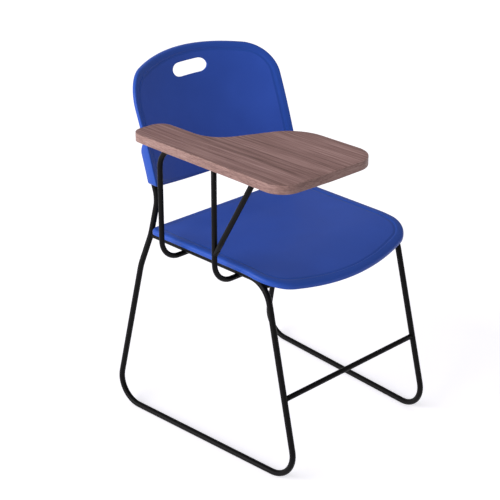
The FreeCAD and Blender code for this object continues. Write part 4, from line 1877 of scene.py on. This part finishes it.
@dataclass
class TabletSupport:
    """The three thin rods and three flat bars that carry the tablet.

    The brace and the front post end inside the rods that they meet, at a share of the rod's
    diameter from the centre line.
    """

    layout: Layout
    finishes: Finishes
    rod: float = 11.1
    post_spacing: float = 156.3
    front_post_y: float = -79.9
    hook_bend: float = 44.3
    top_bend: float = 48.0
    run_front_y: float = -240.0
    brace_foot_rise: float = 49.5
    brace_slope_deg: float = 30.3
    brace_foot_share: float = 0.45
    brace_top_share: float = 0.35
    post_top_share: float = 0.3
    bar_thickness: float = 3.0

    @property
    def hook_z(self) -> float:
        """Height of the runs under the rails."""
        return self.layout.rail_height - self.layout.rod_r - self.layout.weld_gap - self.rod / 2

    @property
    def run_z(self) -> float:
        """Height of the run under the tablet."""
        return self.layout.tablet_under_z - self.bar_thickness - self.rod / 2

    @property
    def far_x(self) -> float:
        """Where the rods end, past the left rail."""
        return self.layout.rail_front_spacing / 2 + self.layout.frame_rod

    def build_posts(self) -> None:
        """The rear rod, from under the rails up and forward under the tablet, and the front post."""
        # The rods run along X, Y and Z, and their bends lie in the XZ and YZ planes
        across = X_AXIS + Y_AXIS
        post_x, front_y = self.layout.post_x, self.front_post_y
        rear_y = front_y + self.post_spacing
        rear = [
            (self.far_x, rear_y, self.hook_z),
            (post_x, rear_y, self.hook_z),
            (post_x, rear_y, self.run_z),
            (post_x, self.run_front_y, self.run_z),
        ]
        front = [
            (self.far_x, front_y, self.hook_z),
            (post_x, front_y, self.hook_z),
            (post_x, front_y, self.run_z - self.rod * self.post_top_share),
        ]
        bends = [self.hook_bend, self.top_bend]
        for place, corners in (("rear", rear), ("front", front)):
            line = bent_line(np.array(corners), bends[: len(corners) - 2])
            skin, coat = rod_skin(line, self.rod / 2, across), [self.finishes.coat]
            put_piece(f"tablet_{place}_bent_rod", skin, coat, Slot.FRAME, f"tablet_{place}_rod")

    def build(self) -> None:
        """Make the rods and welds, and dress the bars."""
        self.build_posts()
        foot_z = self.layout.rail_height + self.brace_foot_rise
        foot = np.array([self.layout.post_x, self.front_post_y, foot_z])
        rise = self.run_z - foot[2]
        top = foot + np.array([0.0, -rise * math.tan(math.radians(self.brace_slope_deg)), rise])
        along = unit(top - foot) * self.rod
        line = np.array([foot + along * self.brace_foot_share, top - along * self.brace_top_share])
        skin = rod_skin(line, self.rod / 2, X_AXIS)
        put_piece("tablet_brace", skin, [self.finishes.coat], Slot.FRAME, "tablet_brace_rod")
        self.build_welds(foot, top)
        for place in ("rear", "middle", "front"):
            dress_node(f"tablet_bar_{place}", self.finishes.coat)

    def build_welds(self, brace_foot: np.ndarray, brace_top: np.ndarray) -> None:
        """Weld beads at the brace's two ends and the front post's top.

        Args:
            brace_foot: where the brace's centre line meets the front post's.
            brace_top: where it meets the run's.
        """
        post_top = np.array([self.layout.post_x, self.front_post_y, self.run_z])
        places = [
            (brace_foot, brace_top - brace_foot, Z_AXIS),
            (brace_top, brace_foot - brace_top, Y_AXIS),
            (post_top, -Z_AXIS, Y_AXIS),
        ]
        beads = [weld_bead(*place, self.rod / 2, self.rod / 2, self.layout.weld_bead) for place in places]
        put_piece("tablet_weld_beads", joined(beads), [self.finishes.coat], Slot.FRAME)


# Studio


@dataclass(frozen=True)
class Studio:
    """A plain pale floor, soft light from the left of the camera, and the photograph's viewpoint."""

    azimuth_deg: float = -43.89
    elevation_deg: float = 23.85
    camera_at: tuple[float, float, float] = (-1879.0, -1851.45, 1560.4)
    sensor_mm: float = 36.0
    lens_mm: float = 98.41
    shift: tuple[float, float] = (0.0139, -0.0189)
    clip_end_m: float = 50.0
    floor_half: float = 9000.0
    floor_colour: str = "#e6e4e8"
    floor_lift: str = "#fdfcff"
    floor_lift_strength: float = 0.52
    sky_colour: str = "#ffffff"
    sky: float = 0.42
    key: float = 3.7
    key_from: tuple[float, float, float] = (-0.95, 0.22, 0.3)
    key_angle_deg: float = 60.0

    def build_floor(self) -> None:
        """The floor: white to the camera, pale grey to the light, so that it keeps soft shadows."""
        half = self.floor_half * METRES_PER_MM
        corners = [(-half, -half, 0), (half, -half, 0), (half, half, 0), (-half, half, 0)]
        mesh = bpy.data.meshes.new("studio_floor")
        mesh.from_pydata(corners, [], [(0, 1, 2, 3)])
        floor = bpy.data.objects.new("studio_floor", mesh)
        bpy.context.scene.collection.objects.link(floor)
        material, tree = new_material("studio_floor_paint")
        path = add_node(tree, "ShaderNodeLightPath")
        seen = add_node(
            tree,
            "ShaderNodeMath",
            {0: path.outputs["Is Camera Ray"], 1: path.outputs["Is Glossy Ray"]},
            operation="MAXIMUM",
        )
        seen = add_node(
            tree,
            "ShaderNodeMath",
            {0: seen.outputs[0], 1: path.outputs["Is Transmission Ray"]},
            operation="MAXIMUM",
        )
        paint = add_node(tree, "ShaderNodeBsdfDiffuse", {"Color": linear(self.floor_colour)})
        lift = add_node(
            tree,
            "ShaderNodeEmission",
            {"Color": linear(self.floor_lift), "Strength": self.floor_lift_strength},
        )
        both = add_node(tree, "ShaderNodeAddShader", {0: paint.outputs[0], 1: lift.outputs[0]})
        mix = add_node(
            tree, "ShaderNodeMixShader", {"Fac": seen.outputs[0], 1: paint.outputs[0], 2: both.outputs[0]}
        )
        add_node(tree, "ShaderNodeOutputMaterial", {"Surface": mix.outputs[0]})
        mesh.materials.append(material)

    def build_light(self) -> None:
        """A white sky that lights evenly, and one wide lamp from the left."""
        world = bpy.data.worlds.new("studio_sky")
        bpy.context.scene.world = world
        world.use_nodes = True
        tree = world.node_tree
        tree.nodes.clear()
        path = add_node(tree, "ShaderNodeLightPath")
        colour = linear(self.sky_colour)
        plain = add_node(tree, "ShaderNodeBackground", {"Color": colour, "Strength": self.sky})
        white = add_node(tree, "ShaderNodeBackground", {"Color": colour, "Strength": 1.0})
        mix = add_node(
            tree,
            "ShaderNodeMixShader",
            {"Fac": path.outputs["Is Camera Ray"], 1: plain.outputs[0], 2: white.outputs[0]},
        )
        add_node(tree, "ShaderNodeOutputWorld", {"Surface": mix.outputs[0]})
        lamp = bpy.data.lights.new("studio_key", "SUN")
        lamp.energy = self.key
        lamp.angle = math.radians(self.key_angle_deg)
        key = bpy.data.objects.new("studio_key", lamp)
        bpy.context.scene.collection.objects.link(key)
        x, y, z = self.key_from
        key.rotation_euler = (math.atan2(math.hypot(x, y), z), 0.0, math.atan2(x, -y))

    def build_camera(self) -> None:
        """The camera at the photograph's viewpoint."""
        data = bpy.data.cameras.new("photo_view")
        data.sensor_width = self.sensor_mm
        data.lens = self.lens_mm
        data.shift_x, data.shift_y = self.shift
        data.clip_end = self.clip_end_m
        camera = bpy.data.objects.new("photo_view", data)
        bpy.context.scene.collection.objects.link(camera)
        camera.location = [value * METRES_PER_MM for value in self.camera_at]
        tilt, turn = math.radians(90 - self.elevation_deg), math.radians(self.azimuth_deg)
        camera.rotation_euler = (tilt, 0.0, turn)
        bpy.context.scene.camera = camera

    def build(self) -> None:
        """Set the stage."""
        bpy.context.scene.view_settings.view_transform = "Standard"
        self.build_floor()
        self.build_light()
        self.build_camera()


def main() -> None:
    """Build every piece in order."""
    logging.basicConfig(level=logging.INFO, format="%(name)s: %(message)s")
    layout = Layout()
    finishes = Finishes()
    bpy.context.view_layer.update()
    Studio().build()
    SledFrame(layout, finishes).build()
    SeatMoulding(layout, finishes).build()
    BackMoulding(layout, finishes).build()
    WritingTablet(layout, finishes).build()
    TabletSupport(layout, finishes).build()
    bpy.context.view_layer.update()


if __name__ == "__main__":
    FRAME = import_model()
    main()
